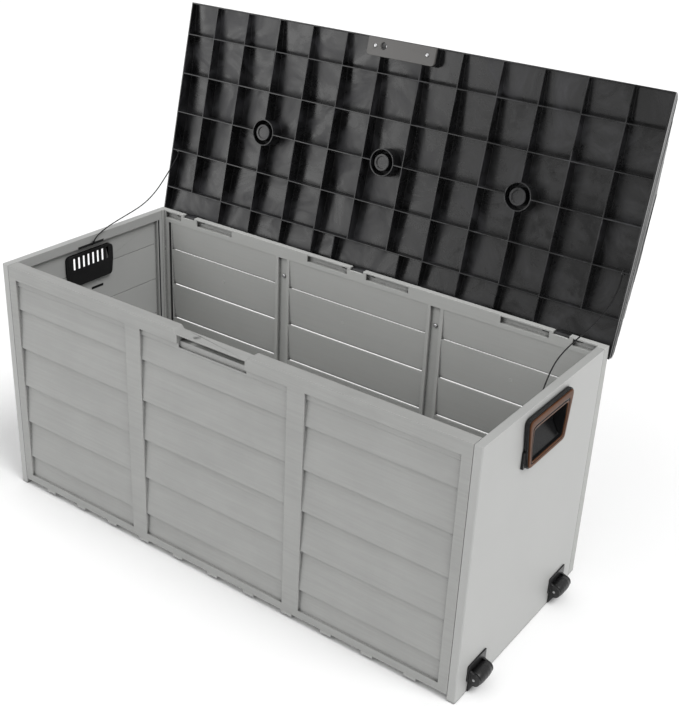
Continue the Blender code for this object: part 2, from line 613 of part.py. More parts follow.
def end_panel(name, side):
    low, high = sorted((side * END_INNER_X, side * END_X))
    panel = boxes(name, [((low, FRONT_Y, 0.0), (high, END_BACK_Y, BODY_HEIGHT))], parts)
    # The front outer corner is rounded over its full height.
    shape = bmesh.new()
    shape.from_mesh(panel.data)
    corner = [edge for edge in shape.edges
              if all(abs(v.co.x - side * END_X) < 1e-6 and abs(v.co.y - FRONT_Y) < 1e-6
                     for v in edge.verts)]
    bmesh.ops.bevel(shape, geom=corner, offset=END_FRONT_ROUND, segments=5, profile=0.5,
                    affect="EDGES")
    shape.to_mesh(panel.data)
    shape.free()
    # Field of the inner side, thinner than the rim band and the posts.
    field_low, field_high = sorted((side * (END_INNER_X - OVERCUT), side * END_FIELD_X))
    field = ((field_low, FRONT_Y + FRONT_RAIL_THICKNESS, FIELD_BOTTOM),
             (field_high, END_BACK_Y - REAR_POST, BODY_HEIGHT - RIM_BAND))
    cut(panel, boxes(name + "_field", [field], cutters))
    line_low, line_high = sorted((side * (END_FIELD_X - OVERCUT / 2), side * (END_FIELD_X + END_LINE_DEPTH)))
    lines = []
    height = BODY_HEIGHT - RIM_BAND - END_LINE_FIRST
    line_front = FRONT_Y + FRONT_RAIL_THICKNESS + END_LINE_INSET
    line_back = END_BACK_Y - REAR_POST - END_LINE_INSET
    while height > END_LINE_LOWEST:
        lines.append(((line_low, line_front, height - END_LINE_WIDTH / 2),
                      (line_high, line_back, height + END_LINE_WIDTH / 2)))
        height -= PLANK_PITCH
    cut(panel, boxes(name + "_plank_lines", lines, cutters))
    # Corner channel beside the back panel, with deeper windows for its clips.
    channel_y = END_BACK_Y - CHANNEL_INSET
    half = CHANNEL_WIDTH / 2
    x_low, x_high = sorted((side * (END_INNER_X - OVERCUT), side * (END_INNER_X + CHANNEL_DEPTH)))
    cut(panel, boxes(name + "_channel", [((x_low, channel_y - half, FIELD_BOTTOM),
                                          (x_high, channel_y + half, BODY_HEIGHT - RIM_BAND))], cutters))
    half -= WINDOW_INSET
    x_low, x_high = sorted((side * (END_INNER_X - OVERCUT), side * (END_INNER_X + WINDOW_DEPTH)))
    cut(panel, boxes(name + "_windows", [
        ((x_low, channel_y - half, BODY_HEIGHT - drop - WINDOW_HEIGHT),
         (x_high, channel_y + half, BODY_HEIGHT - drop)) for drop in WINDOW_DROPS], cutters))
    # Openings: the handle cup, the clip's slot below it and the toggle's slot in the rim band.
    cup = CUP_WALL + FIT_GAP
    through_low, through_high = sorted((side * (END_INNER_X - OVERCUT), side * (END_X + OVERCUT)))
    place = Matrix.Translation(((through_low + through_high) / 2, 0, 0)) @ YZ_PLANE
    cut(panel, outline_solid(name + "_cup_opening", cup_outline(cup), through_high - through_low, place,
                             cutters))
    clip = clip_box(side, FIT_GAP)
    clip[0][0], clip[1][0] = sorted((side * (END_FIELD_X - OVERCUT / 2), side * (END_FIELD_X + CLIP_DEPTH)))
    cut(panel, boxes(name + "_clip_slot", [clip], cutters))
    slot = (TOGGLE_SIZE + TOGGLE_CLEARANCE) / 2
    slot_low, slot_high = sorted((side * (END_INNER_X - OVERCUT),
                                  side * (END_INNER_X + TOGGLE_SIZE + TOGGLE_CLEARANCE)))
    toggle_z = BODY_HEIGHT - TOGGLE_DROP
    cut(panel, boxes(name + "_toggle_slot", [
        ((slot_low, TOGGLE_Y - TOGGLE_HALF_LENGTH - TOGGLE_CLEARANCE, toggle_z - slot),
         (slot_high, TOGGLE_Y + TOGGLE_HALF_LENGTH + TOGGLE_CLEARANCE, toggle_z + slot))], cutters))
    if side > 0:
        roller_recesses(panel)
    finish(panel, end_plastic)


# ---------------------------------------------------------------- floor panel
def floor_panel():
    under = PANEL_BOTTOM - FIT_GAP
    inner_front = FRONT_Y + PANEL_THICKNESS + FIT_GAP
    inner_back = BACK_INNER_Y - FIT_GAP
    half = PANEL_HALF
    base = under - FLOOR_CLIP_HEIGHT
    top = PANEL_BOTTOM + FLOOR_THICKNESS + FLOOR_RIB
    floor = boxes("floor_panel", [((-half, inner_front, under - FLOOR_CLIP_LAP),
                                   (half, inner_back, top))], parts)
    hollow = []
    pitch = 2 * (half - SKIN) / FLOOR_CELLS
    for index in range(FLOOR_CELLS):
        start = -half + SKIN + index * pitch
        hollow.append(((start + SKIN / 2, inner_front + SKIN, under - OVERCUT),
                       (start + pitch - SKIN / 2, inner_back - SKIN, top - FLOOR_THICKNESS)))
    cut(floor, boxes("floor_hollow", hollow, cutters))
    clips = []
    first = FLOOR_CLIP_END - END_X
    pitch = -2 * first / (FLOOR_CLIP_COUNT - 1)
    for index in range(FLOOR_CLIP_COUNT):
        centre = first + index * pitch
        start, end = centre - FLOOR_CLIP_WIDTH / 2, centre + FLOOR_CLIP_WIDTH / 2
        clips.append(((start, FRONT_Y + FLOOR_CLIP_LAP, base), (end, inner_front + 2 * FLOOR_CLIP_LAP, under)))
        clips.append(((start, inner_back - 2 * FLOOR_CLIP_LAP, base), (end, BACK_Y - FLOOR_CLIP_LAP, under)))
    join(floor, boxes("floor_clips", clips, cutters))
    skid = ((-SKID_HALF_WIDTH, inner_front + SKID_INSET, 0.0),
            (SKID_HALF_WIDTH, inner_back - SKID_INSET, top - FLOOR_RIB / 2))
    join(floor, boxes("floor_skid", [skid], cutters))
    finish(floor, panel_plastic)


# ---------------------------------------------------------------- lid
def lid_height(from_back):
    """Height of the lid's outer skin above its rim plane, at a distance from the hinge edge."""
    share = from_back / LID_DEPTH
    base = LID_BACK_HEIGHT + (LID_FRONT_HEIGHT - LID_BACK_HEIGHT) * share
    rise = LID_CROWN_HEIGHT - (LID_BACK_HEIGHT + LID_FRONT_HEIGHT) / 2
    return base + rise * (1 - (2 * share - 1) ** 2)


def lid_point(from_back, height):
    return (LID_BACK_Y - from_back, LID_RIM_Z + height)


def lid_shell():
    """The domed outer form: a side outline with rounded shoulders, with its end edges rounded too."""
    round_steps = 4
    outline = [lid_point(0, 0)]
    for step in range(round_steps + 1):
        angle = math.pi / 2 * step / round_steps
        inset = LID_EDGE_ROUND * (1 - math.cos(angle))
        drop = LID_EDGE_ROUND * (1 - math.sin(angle))
        outline.append(lid_point(inset, lid_height(inset) - drop))
    arch_steps = 14
    span = LID_DEPTH - 2 * LID_EDGE_ROUND
    for step in range(1, arch_steps):
        distance = LID_EDGE_ROUND + span * step / arch_steps
        outline.append(lid_point(distance, lid_height(distance)))
    for step in range(round_steps, -1, -1):
        angle = math.pi / 2 * step / round_steps
        inset = LID_EDGE_ROUND * (1 - math.cos(angle))
        drop = LID_EDGE_ROUND * (1 - math.sin(angle))
        distance = LID_DEPTH - inset
        outline.append(lid_point(distance, lid_height(distance) - drop))
    outline.append(lid_point(LID_DEPTH, 0))
    shell = outline_solid("lid", outline, 2 * LID_HALF, YZ_PLANE, parts)
    shape = bmesh.new()
    shape.from_mesh(shell.data)
    edges = [edge for edge in shape.edges
             if edge.verts[0].co.x * edge.verts[1].co.x > 0 and len(edge.link_faces) == 2
             and all(abs(abs(v.co.x) - LID_HALF) < 1e-5 and v.co.z > LID_RIM_Z + FIT_GAP
                     for v in edge.verts)]
    bmesh.ops.bevel(shape, geom=edges, offset=LID_EDGE_ROUND * 0.8, segments=2, profile=0.5,
                    affect="EDGES")
    shape.to_mesh(shell.data)
    shape.free()
    return shell


def lid_columns():
    """Centre lines of the front-to-back ribs on the +X side."""
    first = LID_CENTRE_COLUMN / 2
    last = LID_HALF - LID_END_COLUMN
    pitch = (last - first) / LID_COLUMNS_EACH_SIDE
    return [first + pitch * index for index in range(LID_COLUMNS_EACH_SIDE + 1)]


def lid_rows():
    """Centre lines of the lengthwise ribs, from the hinge edge."""
    pitch = (LID_DEPTH - LID_HINGE_ROW - LID_FRONT_ROW) / LID_INNER_ROWS
    return [LID_HINGE_ROW + pitch * index for index in range(LID_INNER_ROWS + 1)]


def add_lid_cell(shape, x_low, x_high, near, far, below, under_skin):
    """A block between two distances from the hinge edge, whose top follows the dome."""
    low = (x_low, LID_BACK_Y - far, LID_RIM_Z + below)
    high = (x_high, LID_BACK_Y - near, LID_RIM_Z + LID_CROWN_HEIGHT)
    verts = add_box(shape, low, high)
    for vert in verts:
        if vert.co.z > (low[2] + high[2]) / 2:
            vert.co.z = LID_RIM_Z + lid_height(LID_BACK_Y - vert.co.y) - under_skin


def cut_lid_cells(lid):
    columns = lid_columns()
    lines = [-x for x in reversed(columns)] + columns
    # At the hinges the ribs give way: the outermost ones stop short and the middle pair stands wider.
    hinge_lines = [-x for x in reversed(columns[1:-1])] + [-HINGE_BAY_HALF, HINGE_BAY_HALF] + columns[1:-1]
    rows = lid_rows()
    edges = [LID_SKIRT - LID_RIB / 2] + rows + [LID_DEPTH - LID_SKIRT + LID_RIB / 2]
    half_rib = LID_RIB / 2
    wall = LID_HALF - LID_SKIRT + half_rib
    shape = bmesh.new()
    for row, (near, far) in enumerate(zip(edges, edges[1:])):
        ribs = hinge_lines if row == 0 else lines
        across = [-wall] + ribs + [wall]
        for start, end in zip(across, across[1:]):
            add_lid_cell(shape, start + half_rib, end - half_rib, near + half_rib, far - half_rib,
                         -OVERCUT, LID_SKIN)
    cut(lid, mesh_object("lid_cells", shape, cutters))


def lid_bosses(lid):
    """Three round bosses on the middle lengthwise rib."""
    columns = lid_columns()
    row = lid_rows()[2]
    y = LID_BACK_Y - row
    top = LID_RIM_Z + lid_height(row) - LID_SKIN * 0.6
    middle = (LID_RIM_Z + top) / 2
    height = top - LID_RIM_Z
    for number, x in enumerate((-columns[3], 0.0, columns[3]), 1):
        ring = cylinders("boss_ring_%d" % number, [((x, y, middle), (0, 0, 1), BOSS_RING_RADIUS, height)],
                         cutters, 32)
        hole = cylinders("boss_groove_%d" % number, [
            ((x, y, middle - LID_SKIN), (0, 0, 1), BOSS_RING_RADIUS - BOSS_RING_WALL, height)], cutters, 32)
        disc = cylinders("boss_disc_%d" % number, [((x, y, middle), (0, 0, 1), BOSS_DISC_RADIUS, height)],
                         cutters, 28)
        dish = cylinders("boss_dish_%d" % number, [
            ((x, y, LID_RIM_Z), (0, 0, 1), BOSS_DISH_RADIUS, 2 * BOSS_DISH_DEPTH)], cutters, 24)
        join(lid, ring)
        cut(lid, hole)
        join(lid, disc)
        cut(lid, dish)


def lid_lugs(lid):
    """A lug under the hinge edge at each hinge, ending in a barrel on the hinge axis."""
    from_back = LID_BACK_Y - HINGE_Y
    half = HINGE_BARREL_RADIUS * LID_LUG_SHARE
    for number, hinge_x in enumerate(HINGE_XS, 1):
        shape = bmesh.new()
        add_lid_cell(shape, hinge_x - HINGE_LUG_HALF, hinge_x + HINGE_LUG_HALF, from_back - half,
                     from_back + half, HINGE_Z - LID_RIM_Z, LID_SKIN * 0.4)
        join(lid, mesh_object("lug_%d" % number, shape, cutters))
        join(lid, cylinders("barrel_%d" % number, [
            ((hinge_x, HINGE_Y, HINGE_Z), (1, 0, 0), HINGE_BARREL_RADIUS, 2 * HINGE_LUG_HALF)],
            cutters, 24))
    bores = [((x, HINGE_Y, HINGE_Z), (1, 0, 0), HINGE_PIN_RADIUS + BORE, 4 * HINGE_LUG_HALF)
             for x in HINGE_XS]
    cut(lid, cylinders("lug_bores", bores, cutters, 20))


LOCK_FRONT = LID_FRONT_Y + LOCK_SETBACK
LOCK_BACK = LOCK_FRONT + LOCK_LENGTH
PADLOCK_Y = LID_FRONT_Y + PADLOCK_FROM_FRONT
LOCK_SCREW_Y = PADLOCK_Y + 0.001


def lid(parent):
    piece = lid_shell()
    cut_lid_cells(piece)
    lid_bosses(piece)
    lid_lugs(piece)
    # Solid pad that the lock plate is screwed to.
    shape = bmesh.new()
    pad_far = LID_DEPTH - LID_SKIRT * 0.5
    pad_near = LID_DEPTH - LOCK_SETBACK - LOCK_LENGTH
    add_lid_cell(shape, -LOCK_HALF_WIDTH, LOCK_HALF_WIDTH, pad_near, pad_far, 0.0, LID_SKIN * 0.4)
    join(piece, mesh_object("lock_pad", shape, cutters))
    holes = [((PADLOCK_X, PADLOCK_Y, LID_RIM_Z), (0, 0, 1), PADLOCK_RADIUS,
              3 * LID_CROWN_HEIGHT)]
    for side in (-1, 1):
        holes.append(((side * LOCK_SCREW_X, LOCK_SCREW_Y, LID_RIM_Z), (0, 0, 1),
                      LOCK_SCREW_SHANK + BORE, 2 * (LOCK_SCREW_LENGTH - LOCK_THICKNESS + LOCK_SCREW_HEAD)))
        holes.append(((side * (END_X - PLUG_X_INSET), LID_BACK_Y - lid_rows()[1], LID_RIM_Z + PLUG_DEPTH),
                      (0, 1, 0), PLUG_SHANK_RADIUS + BORE, 2 * OVERCUT))
    cut(piece, cylinders("lid_holes", holes, cutters, 20))
    finish(piece, lid_plastic, parent)


def lock_plate(parent):
    top = LID_RIM_Z - LOCK_LIFT
    base = top - LOCK_THICKNESS
    corners = [(-LOCK_HALF_WIDTH, LOCK_FRONT), (LOCK_HALF_WIDTH, LOCK_FRONT),
               (LOCK_HALF_WIDTH, LOCK_BACK), (-LOCK_HALF_WIDTH, LOCK_BACK)]
    outline = []
    for u, v in rounded_outline(corners, LOCK_CORNER):
        square = v < LOCK_FRONT + LOCK_CORNER
        outline.append((math.copysign(LOCK_HALF_WIDTH, u) if square else u, LOCK_FRONT if square else v))
    outline = [point for index, point in enumerate(outline) if point not in outline[:index]]
    place = Matrix.Translation((0, 0, (top + base) / 2))
    plate = outline_solid("lock_plate", outline, top - base, place, parts)
    cut(plate, cylinders("lock_plate_hole", [((PADLOCK_X, PADLOCK_Y, base), (0, 0, 1), PADLOCK_RADIUS,
                                              4 * OVERCUT)], cutters, 24))
    holes = []
    for side in (-1, 1):
        centre = (side * LOCK_SCREW_X, LOCK_SCREW_Y, base)
        holes.append((centre, (0, 0, 1), LOCK_SCREW_SHANK + BORE, 4 * OVERCUT))
    cut(plate, cylinders("lock_screw_holes", holes, cutters, 16))
    sinks = [((side * LOCK_SCREW_X, LOCK_SCREW_Y, base), (0, 0, 1), LOCK_SCREW_RADIUS + BORE,
              2 * LOCK_SCREW_SINK)
             for side in (-1, 1)]
    cut(plate, cylinders("lock_screw_sinks", sinks, cutters, 16))
    finish(plate, plate_plastic, parent)
    for side, word in ((-1, "left"), (1, "right")):
        head = LOCK_SCREW_HEAD
        screw = cylinders("lock_plate_screw_" + word, [
            ((side * LOCK_SCREW_X, LOCK_SCREW_Y, base + head / 2), (0, 0, 1), LOCK_SCREW_RADIUS, head)],
            parts, 16)
        join(screw, cylinders("lock_screw_shank_" + word, [
            ((side * LOCK_SCREW_X, LOCK_SCREW_Y, base + head / 2 + LOCK_SCREW_LENGTH / 2), (0, 0, 1),
             LOCK_SCREW_SHANK, LOCK_SCREW_LENGTH)], cutters, 12))
        finish(screw, steel, parent, smooth=True)


def hinge_pins():
    for word, hinge_x in zip(("left", "centre", "right"), HINGE_XS):
        pin = cylinders("hinge_pin_" + word, [
            ((0, 0, 0), (1, 0, 0), HINGE_PIN_RADIUS, 2 * HINGE_PIN_HALF_LENGTH)], parts, 20)
        pin.location = (hinge_x, HINGE_Y, HINGE_Z)
        finish(pin, steel, smooth=True)


# ---------------------------------------------------------------- handles
def handle(word, side):
    top = BODY_HEIGHT - HANDLE_TOP
    cup_top = top - CUP_TOP_DROP
    start = END_X + SEAT_GAP
    face = start + HANDLE_BEZEL
    flange = outline_solid("handle_" + word, handle_outline(), HANDLE_BEZEL,
                           Matrix.Translation((side * (start + HANDLE_BEZEL / 2), 0, 0)) @ YZ_PLANE, parts)
    ear_half = HANDLE_BOTTOM_HALF + HANDLE_EAR
    ear_low, ear_high = sorted((side * start, side * (start + HANDLE_BEZEL * HANDLE_EAR_SHARE)))
    join(flange, boxes("handle_ears_" + word, [
        ((ear_low, END_CENTRE_Y - ear_half, top - HANDLE_HEIGHT + HANDLE_EAR_LIFT),
         (ear_high, END_CENTRE_Y + ear_half, top - HANDLE_HEIGHT + HANDLE_EAR_HEIGHT))], cutters))
    inner = END_X - CUP_REACH
    body_low, body_high = sorted((side * inner, side * (start + HANDLE_BEZEL / 4)))
    place = Matrix.Translation(((body_low + body_high) / 2, 0, 0)) @ YZ_PLANE
    join(flange, outline_solid("cup_body_" + word, cup_outline(CUP_WALL), body_high - body_low, place,
                               cutters))
    hollow_low, hollow_high = sorted((side * (inner + CUP_WALL), side * (face + OVERCUT)))
    place = Matrix.Translation(((hollow_low + hollow_high) / 2, 0, 0)) @ YZ_PLANE
    cut(flange, outline_solid("cup_hollow_" + word, cup_outline(), hollow_high - hollow_low, place, cutters))
    back = inner + CUP_WALL - FIT_GAP
    foot = cup_top - CUP_HEIGHT - FIT_GAP
    wedge = [(side * back, foot), (side * (back + SCOOP_REACH), foot), (side * back, foot + SCOOP_RISE)]
    width = 2 * (CUP_HALF - CUP_TAPER - FIT_GAP)
    place = Matrix.Translation((0, END_CENTRE_Y, 0)) @ XZ_PLANE
    join(flange, outline_solid("cup_scoop_" + word, wedge, width, place, cutters))
    slots = []
    first = END_CENTRE_Y - (SLOT_COUNT - 1) / 2 * SLOT_PITCH
    slot_low, slot_high = sorted((side * (inner - OVERCUT), side * (inner + CUP_WALL + FIT_GAP)))
    slot_top = cup_top - SLOT_TOP_DROP
    for index in range(SLOT_COUNT):
        centre = first + index * SLOT_PITCH
        slots.append(((slot_low, centre - SLOT_WIDTH / 2, slot_top - SLOT_HEIGHT),
                      (slot_high, centre + SLOT_WIDTH / 2, slot_top)))
    cut(flange, boxes("cup_slots_" + word, slots, cutters))
    finish(flange, handle_plastic)
    trim_start = face + SEAT_GAP
    trim = outline_solid("handle_trim_" + word, handle_outline(HANDLE_TRIM_INSET), HANDLE_TRIM,
                         Matrix.Translation((side * (trim_start + HANDLE_TRIM / 2), 0, 0)) @ YZ_PLANE, parts)
    place = Matrix.Translation((side * trim_start, 0, 0)) @ YZ_PLANE
    cut(trim, outline_solid("trim_opening_" + word, cup_outline(), 2 * OVERCUT, place, cutters))
    finish(trim, bronze_plastic)
    finish(boxes("handle_clip_" + word, [clip_box(side, 0.0)], parts), handle_plastic)


# ---------------------------------------------------------------- rollers
def roller_window(centre_y, side_gap, x_low, x_high):
    """The box that a roller needs, between two distances along X."""
    half = WHEEL_WIDTH / 2 + side_gap
    reach = WHEEL_RADIUS + WHEEL_CLEARANCE
    return ((x_low, centre_y - half, WHEEL_AXIS_HEIGHT - reach),
            (x_high, centre_y + half, WHEEL_AXIS_HEIGHT + reach))


def roller_recesses(panel):
    depth = WHEEL_RADIUS + WHEEL_CLEARANCE - WHEEL_AXIS_OUT
    windows = [roller_window(y, 2 * WHEEL_SIDE_GAP, END_X - depth, END_X + OVERCUT)
               for y in (FRONT_Y + WHEEL_INSET, END_BACK_Y - WHEEL_INSET)]
    cut(panel, boxes("roller_recesses", windows, cutters))


def roller(word, centre_y):
    axis = Vector((END_X + WHEEL_AXIS_OUT, centre_y, WHEEL_AXIS_HEIGHT))
    plate_x = END_X + SEAT_GAP
    half_cheeks = WHEEL_WIDTH / 2 + WHEEL_SIDE_GAP + CHEEK_THICKNESS
    bracket = boxes("wheel_bracket_" + word, [
        ((plate_x, centre_y - BRACKET_HALF_WIDTH, BRACKET_FOOT_HEIGHT),
         (plate_x + BRACKET_PLATE, centre_y + BRACKET_HALF_WIDTH, BRACKET_HEIGHT))], parts)
    join(bracket, boxes("bracket_foot_" + word, [
        ((plate_x, centre_y - half_cheeks, BRACKET_FOOT_BASE),
         (plate_x + BRACKET_PLATE, centre_y + half_cheeks, BRACKET_FOOT_HEIGHT + FIT_GAP))], cutters))
    for number, sign in enumerate((-1, 1), 1):
        low, high = sorted((centre_y + sign * (half_cheeks - CHEEK_THICKNESS), centre_y + sign * half_cheeks))
        middle = (low + high) / 2
        join(bracket, cylinders("cheek_%d_%s" % (number, word), [
            ((axis.x, middle, axis.z), (0, 1, 0), CHEEK_RADIUS, CHEEK_THICKNESS)], cutters, 24))
        root = plate_x + BRACKET_PLATE / 2
        web = [(root, axis.z + CHEEK_RADIUS * 1.3), (root, 2 * BRACKET_FOOT_BASE),
               (axis.x, axis.z - CHEEK_RADIUS * 0.98), (axis.x + CHEEK_RADIUS * 0.68, axis.z),
               (axis.x, axis.z + CHEEK_RADIUS * 0.98)]
        place = Matrix.Translation((0, middle, 0)) @ XZ_PLANE
        join(bracket, outline_solid("cheek_web_%d_%s" % (number, word), web, CHEEK_THICKNESS * 0.999, place,
                                    cutters))
    cut(bracket, cylinders("axle_holes_" + word, [(axis, (0, 1, 0), AXLE_RADIUS + BORE,
                                                   3 * WHEEL_WIDTH)], cutters, 20))
    # The roller turns in a window of the plate, and the cheeks stop at the end panel.
    cut(bracket, boxes("bracket_window_" + word, [
        roller_window(centre_y, WHEEL_SIDE_GAP, plate_x - OVERCUT, plate_x + BRACKET_PLATE + SEAT_GAP)],
        cutters))
    aside = BRACKET_HALF_WIDTH + OVERCUT
    cut(bracket, boxes("bracket_back_" + word, [
        ((END_X - 2 * OVERCUT, centre_y - aside, -OVERCUT), (plate_x, centre_y + aside, 2 * BRACKET_HEIGHT))],
        cutters))
    finish(bracket, handle_plastic)

    hub = bpy.data.objects.new("wheel_axis_" + word, None)
    hub.location = axis
    parts.objects.link(hub)
    wheel = turned("wheel_" + word, wheel_profile(), 32)
    wheel.rotation_euler = (math.radians(-90), 0, 0)
    finish(wheel, wheel_plastic, hub)
    axle = cylinders("wheel_axle_" + word, [((0, 0, 0), (0, 1, 0), AXLE_RADIUS, 2 * half_cheeks)], parts, 20)
    finish(axle, steel, smooth=True)
    axle.location = axis


def wheel_profile():
    """Radius and length along the axle, down the outer side: a slightly crowned tread and a bore."""
    half = WHEEL_WIDTH / 2
    edge = WHEEL_RADIUS - WHEEL_CROWN
    bore = AXLE_RADIUS + BORE
    flat = half * 0.35
    side = half - WHEEL_SIDE_ROUND
    return [(bore, half), (edge - WHEEL_SIDE_ROUND, half), (edge, side), (WHEEL_RADIUS, flat),
            (WHEEL_RADIUS, -flat), (edge, -side), (edge - WHEEL_SIDE_ROUND, -half), (bore, -half)]


def turned(name, profile, steps):
    """A closed profile swept round Z with a Screw modifier."""
    shape = bmesh.new()
    verts = [shape.verts.new((radius, 0, height)) for radius, height in profile]
    for first, second in zip(verts, verts[1:] + verts[:1]):
        shape.edges.new((first, second))
    mesh = bpy.data.meshes.new(name)
    shape.to_mesh(mesh)
    shape.free()
    made = bpy.data.objects.new(name, mesh)
    parts.objects.link(made)
    screw = made.modifiers.new("turn", "SCREW")
    screw.axis = "Z"
    screw.angle = math.tau
    screw.steps = steps
    screw.render_steps = steps
    screw.use_merge_vertices = True
    screw.merge_threshold = 0.00001
    screw.use_smooth_shade = False
    return made


# ---------------------------------------------------------------- screws, toggles, plugs and cords
def stile_screws():
    for side, word in ((-1, "left"), (1, "right")):
        seat = BACK_INNER_Y + STILE_GROOVE_DEPTH - SEAT_GAP
        centre = Vector((side * STILE_X, seat - STILE_SCREW_HEAD / 2, BODY_HEIGHT - STILE_SCREW_DROP))
        screw = cylinders("stile_screw_" + word, [(centre, (0, 1, 0), STILE_SCREW_RADIUS,
                                                   STILE_SCREW_HEAD)], parts, 20)
        join(screw, cylinders("stile_screw_shank_" + word, [
            (centre + Vector((0, STILE_SCREW_LENGTH / 2, 0)), (0, 1, 0), STILE_SCREW_SHANK,
             STILE_SCREW_LENGTH)], cutters, 16))
        finish(screw, steel, smooth=True)


def toggles():
    z = BODY_HEIGHT - TOGGLE_DROP
    for side, word in ((-1, "left"), (1, "right")):
        low, high = sorted((side * (END_INNER_X - FIT_GAP), side * (END_INNER_X + TOGGLE_SIZE)))
        bar = boxes("cord_toggle_" + word, [
            ((low, TOGGLE_Y - TOGGLE_HALF_LENGTH, z - TOGGLE_SIZE / 2),
             (high, TOGGLE_Y + TOGGLE_HALF_LENGTH, z + TOGGLE_SIZE / 2))], parts)
        soften = bar.modifiers.new("soften", "BEVEL")
        soften.width = TOGGLE_SIZE / 5
        soften.segments = 2
        finish(bar, handle_plastic)


def lid_plugs(parent):
    """A rivet-like plug in a lengthwise rib that each cord is made fast to."""
    row_y = LID_BACK_Y - lid_rows()[1]
    z = LID_RIM_Z + PLUG_DEPTH
    head_low = row_y + LID_RIB / 2 + SEAT_GAP
    for side, word in ((-1, "left"), (1, "right")):
        x = side * (END_X - PLUG_X_INSET)
        plug = cylinders("cord_plug_" + word, [
            ((x, head_low + PLUG_HEAD / 2, z), (0, 1, 0), PLUG_HEAD_RADIUS, PLUG_HEAD)], parts, 16)
        join(plug, cylinders("cord_plug_shank_" + word, [
            ((x, row_y, z), (0, 1, 0), PLUG_SHANK_RADIUS, 2.5 * LID_RIB)], cutters, 12))
        finish(plug, handle_plastic, parent, smooth=True)


def smooth_route(points, spacing):
    """Points at an even spacing on a Catmull-Rom curve through the route's own points."""
    ends = [2 * Vector(points[0]) - Vector(points[1]), 2 * Vector(points[-1]) - Vector(points[-2])]
    knots = [ends[0]] + [Vector(point) for point in points] + [ends[1]]
    fine = []
    for before, start, end, after in zip(knots, knots[1:], knots[2:], knots[3:]):
        for step in range(24):
            t = step / 24
            fine.append(0.5 * ((2 * start) + (end - before) * t
                               + (2 * before - 5 * start + 4 * end - after) * t * t
                               + (3 * start - before - 3 * end + after) * t ** 3))
    fine.append(knots[-2])
    lengths = [0.0]
    for first, second in zip(fine, fine[1:]):
        lengths.append(lengths[-1] + (second - first).length)
    count = round(lengths[-1] / spacing)
    route, index = [], 0
    for step in range(count + 1):
        target = lengths[-1] * step / count
        while index < len(fine) - 2 and lengths[index + 1] < target:
            index += 1
        share = (target - lengths[index]) / (lengths[index + 1] - lengths[index])
        route.append(fine[index].lerp(fine[index + 1], share))
    return route


def cord_route(side, offset, course):
    """The course laid between the toggle and the plug of the open lid."""
    start = Vector((side * (END_INNER_X - CORD_GAP), END_CENTRE_Y + offset, BODY_HEIGHT - TOGGLE_DROP))
    plug_face = LID_BACK_Y - lid_rows()[1] + LID_RIB / 2 + SEAT_GAP + PLUG_HEAD
    closed = Vector((side * (END_X - PLUG_X_INSET), plug_face + CORD_GAP, LID_RIM_Z + PLUG_DEPTH))
    end = swing @ (closed - Vector((0, HINGE_Y, HINGE_Z)))
    return [start.lerp(end, share) + Vector((-side * inward, 0, lift)) for inward, share, lift in course]


def cord(name, points):
    curve = bpy.data.curves.new(name, "CURVE")
    curve.dimensions = "3D"
    curve.bevel_depth = CORD_DIAMETER / 2
    curve.bevel_resolution = 2
    curve.use_fill_caps = True
    route = smooth_route(points, 2.4 * CORD_DIAMETER)
    spline = curve.splines.new("POLY")
    spline.points.add(len(route) - 1)
    for point, place in zip(spline.points, route):
        point.co = (*place, 1.0)
    made = bpy.data.objects.new(name, curve)
    parts.objects.link(made)
    curve.materials.append(cord_fibre)


# ---------------------------------------------------------------- the box
front_panel()
back_panel()
end_panel("left_end_panel", -1)
end_panel("right_end_panel", 1)
floor_panel()

lid_axis = bpy.data.objects.new("lid_hinge_axis", None)
parts.objects.link(lid_axis)
swing = Matrix.Translation((0, HINGE_Y, HINGE_Z)) @ Matrix.Rotation(math.radians(-LID_OPEN_ANGLE), 4, "X")
lid_axis.matrix_world = swing
closed_to_axis = bpy.data.objects.new("lid_closed_frame", None)
parts.objects.link(closed_to_axis)
closed_to_axis.parent = lid_axis
closed_to_axis.location = (0, -HINGE_Y, -HINGE_Z)
lid(closed_to_axis)
lock_plate(closed_to_axis)
lid_plugs(closed_to_axis)
hinge_pins()

handle("left", -1)
handle("right", 1)
roller("front", FRONT_Y + WHEEL_INSET)
roller("rear", END_BACK_Y - WHEEL_INSET)
stile_screws()
toggles()
cord("lid_cord_left", cord_route(-1, LEFT_CORD_OFFSET, LEFT_CORD))
cord("lid_cord_right", cord_route(1, RIGHT_CORD_OFFSET, RIGHT_CORD))
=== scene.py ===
"""Looks of the deck storage box: clapboard panels, a ribbed black lid, bronze-faced handles, two rollers.

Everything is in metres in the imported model's frame. The lid stands open at rest.
"""
import json
import math

import bmesh
import bpy
from mathutils import Matrix, Vector

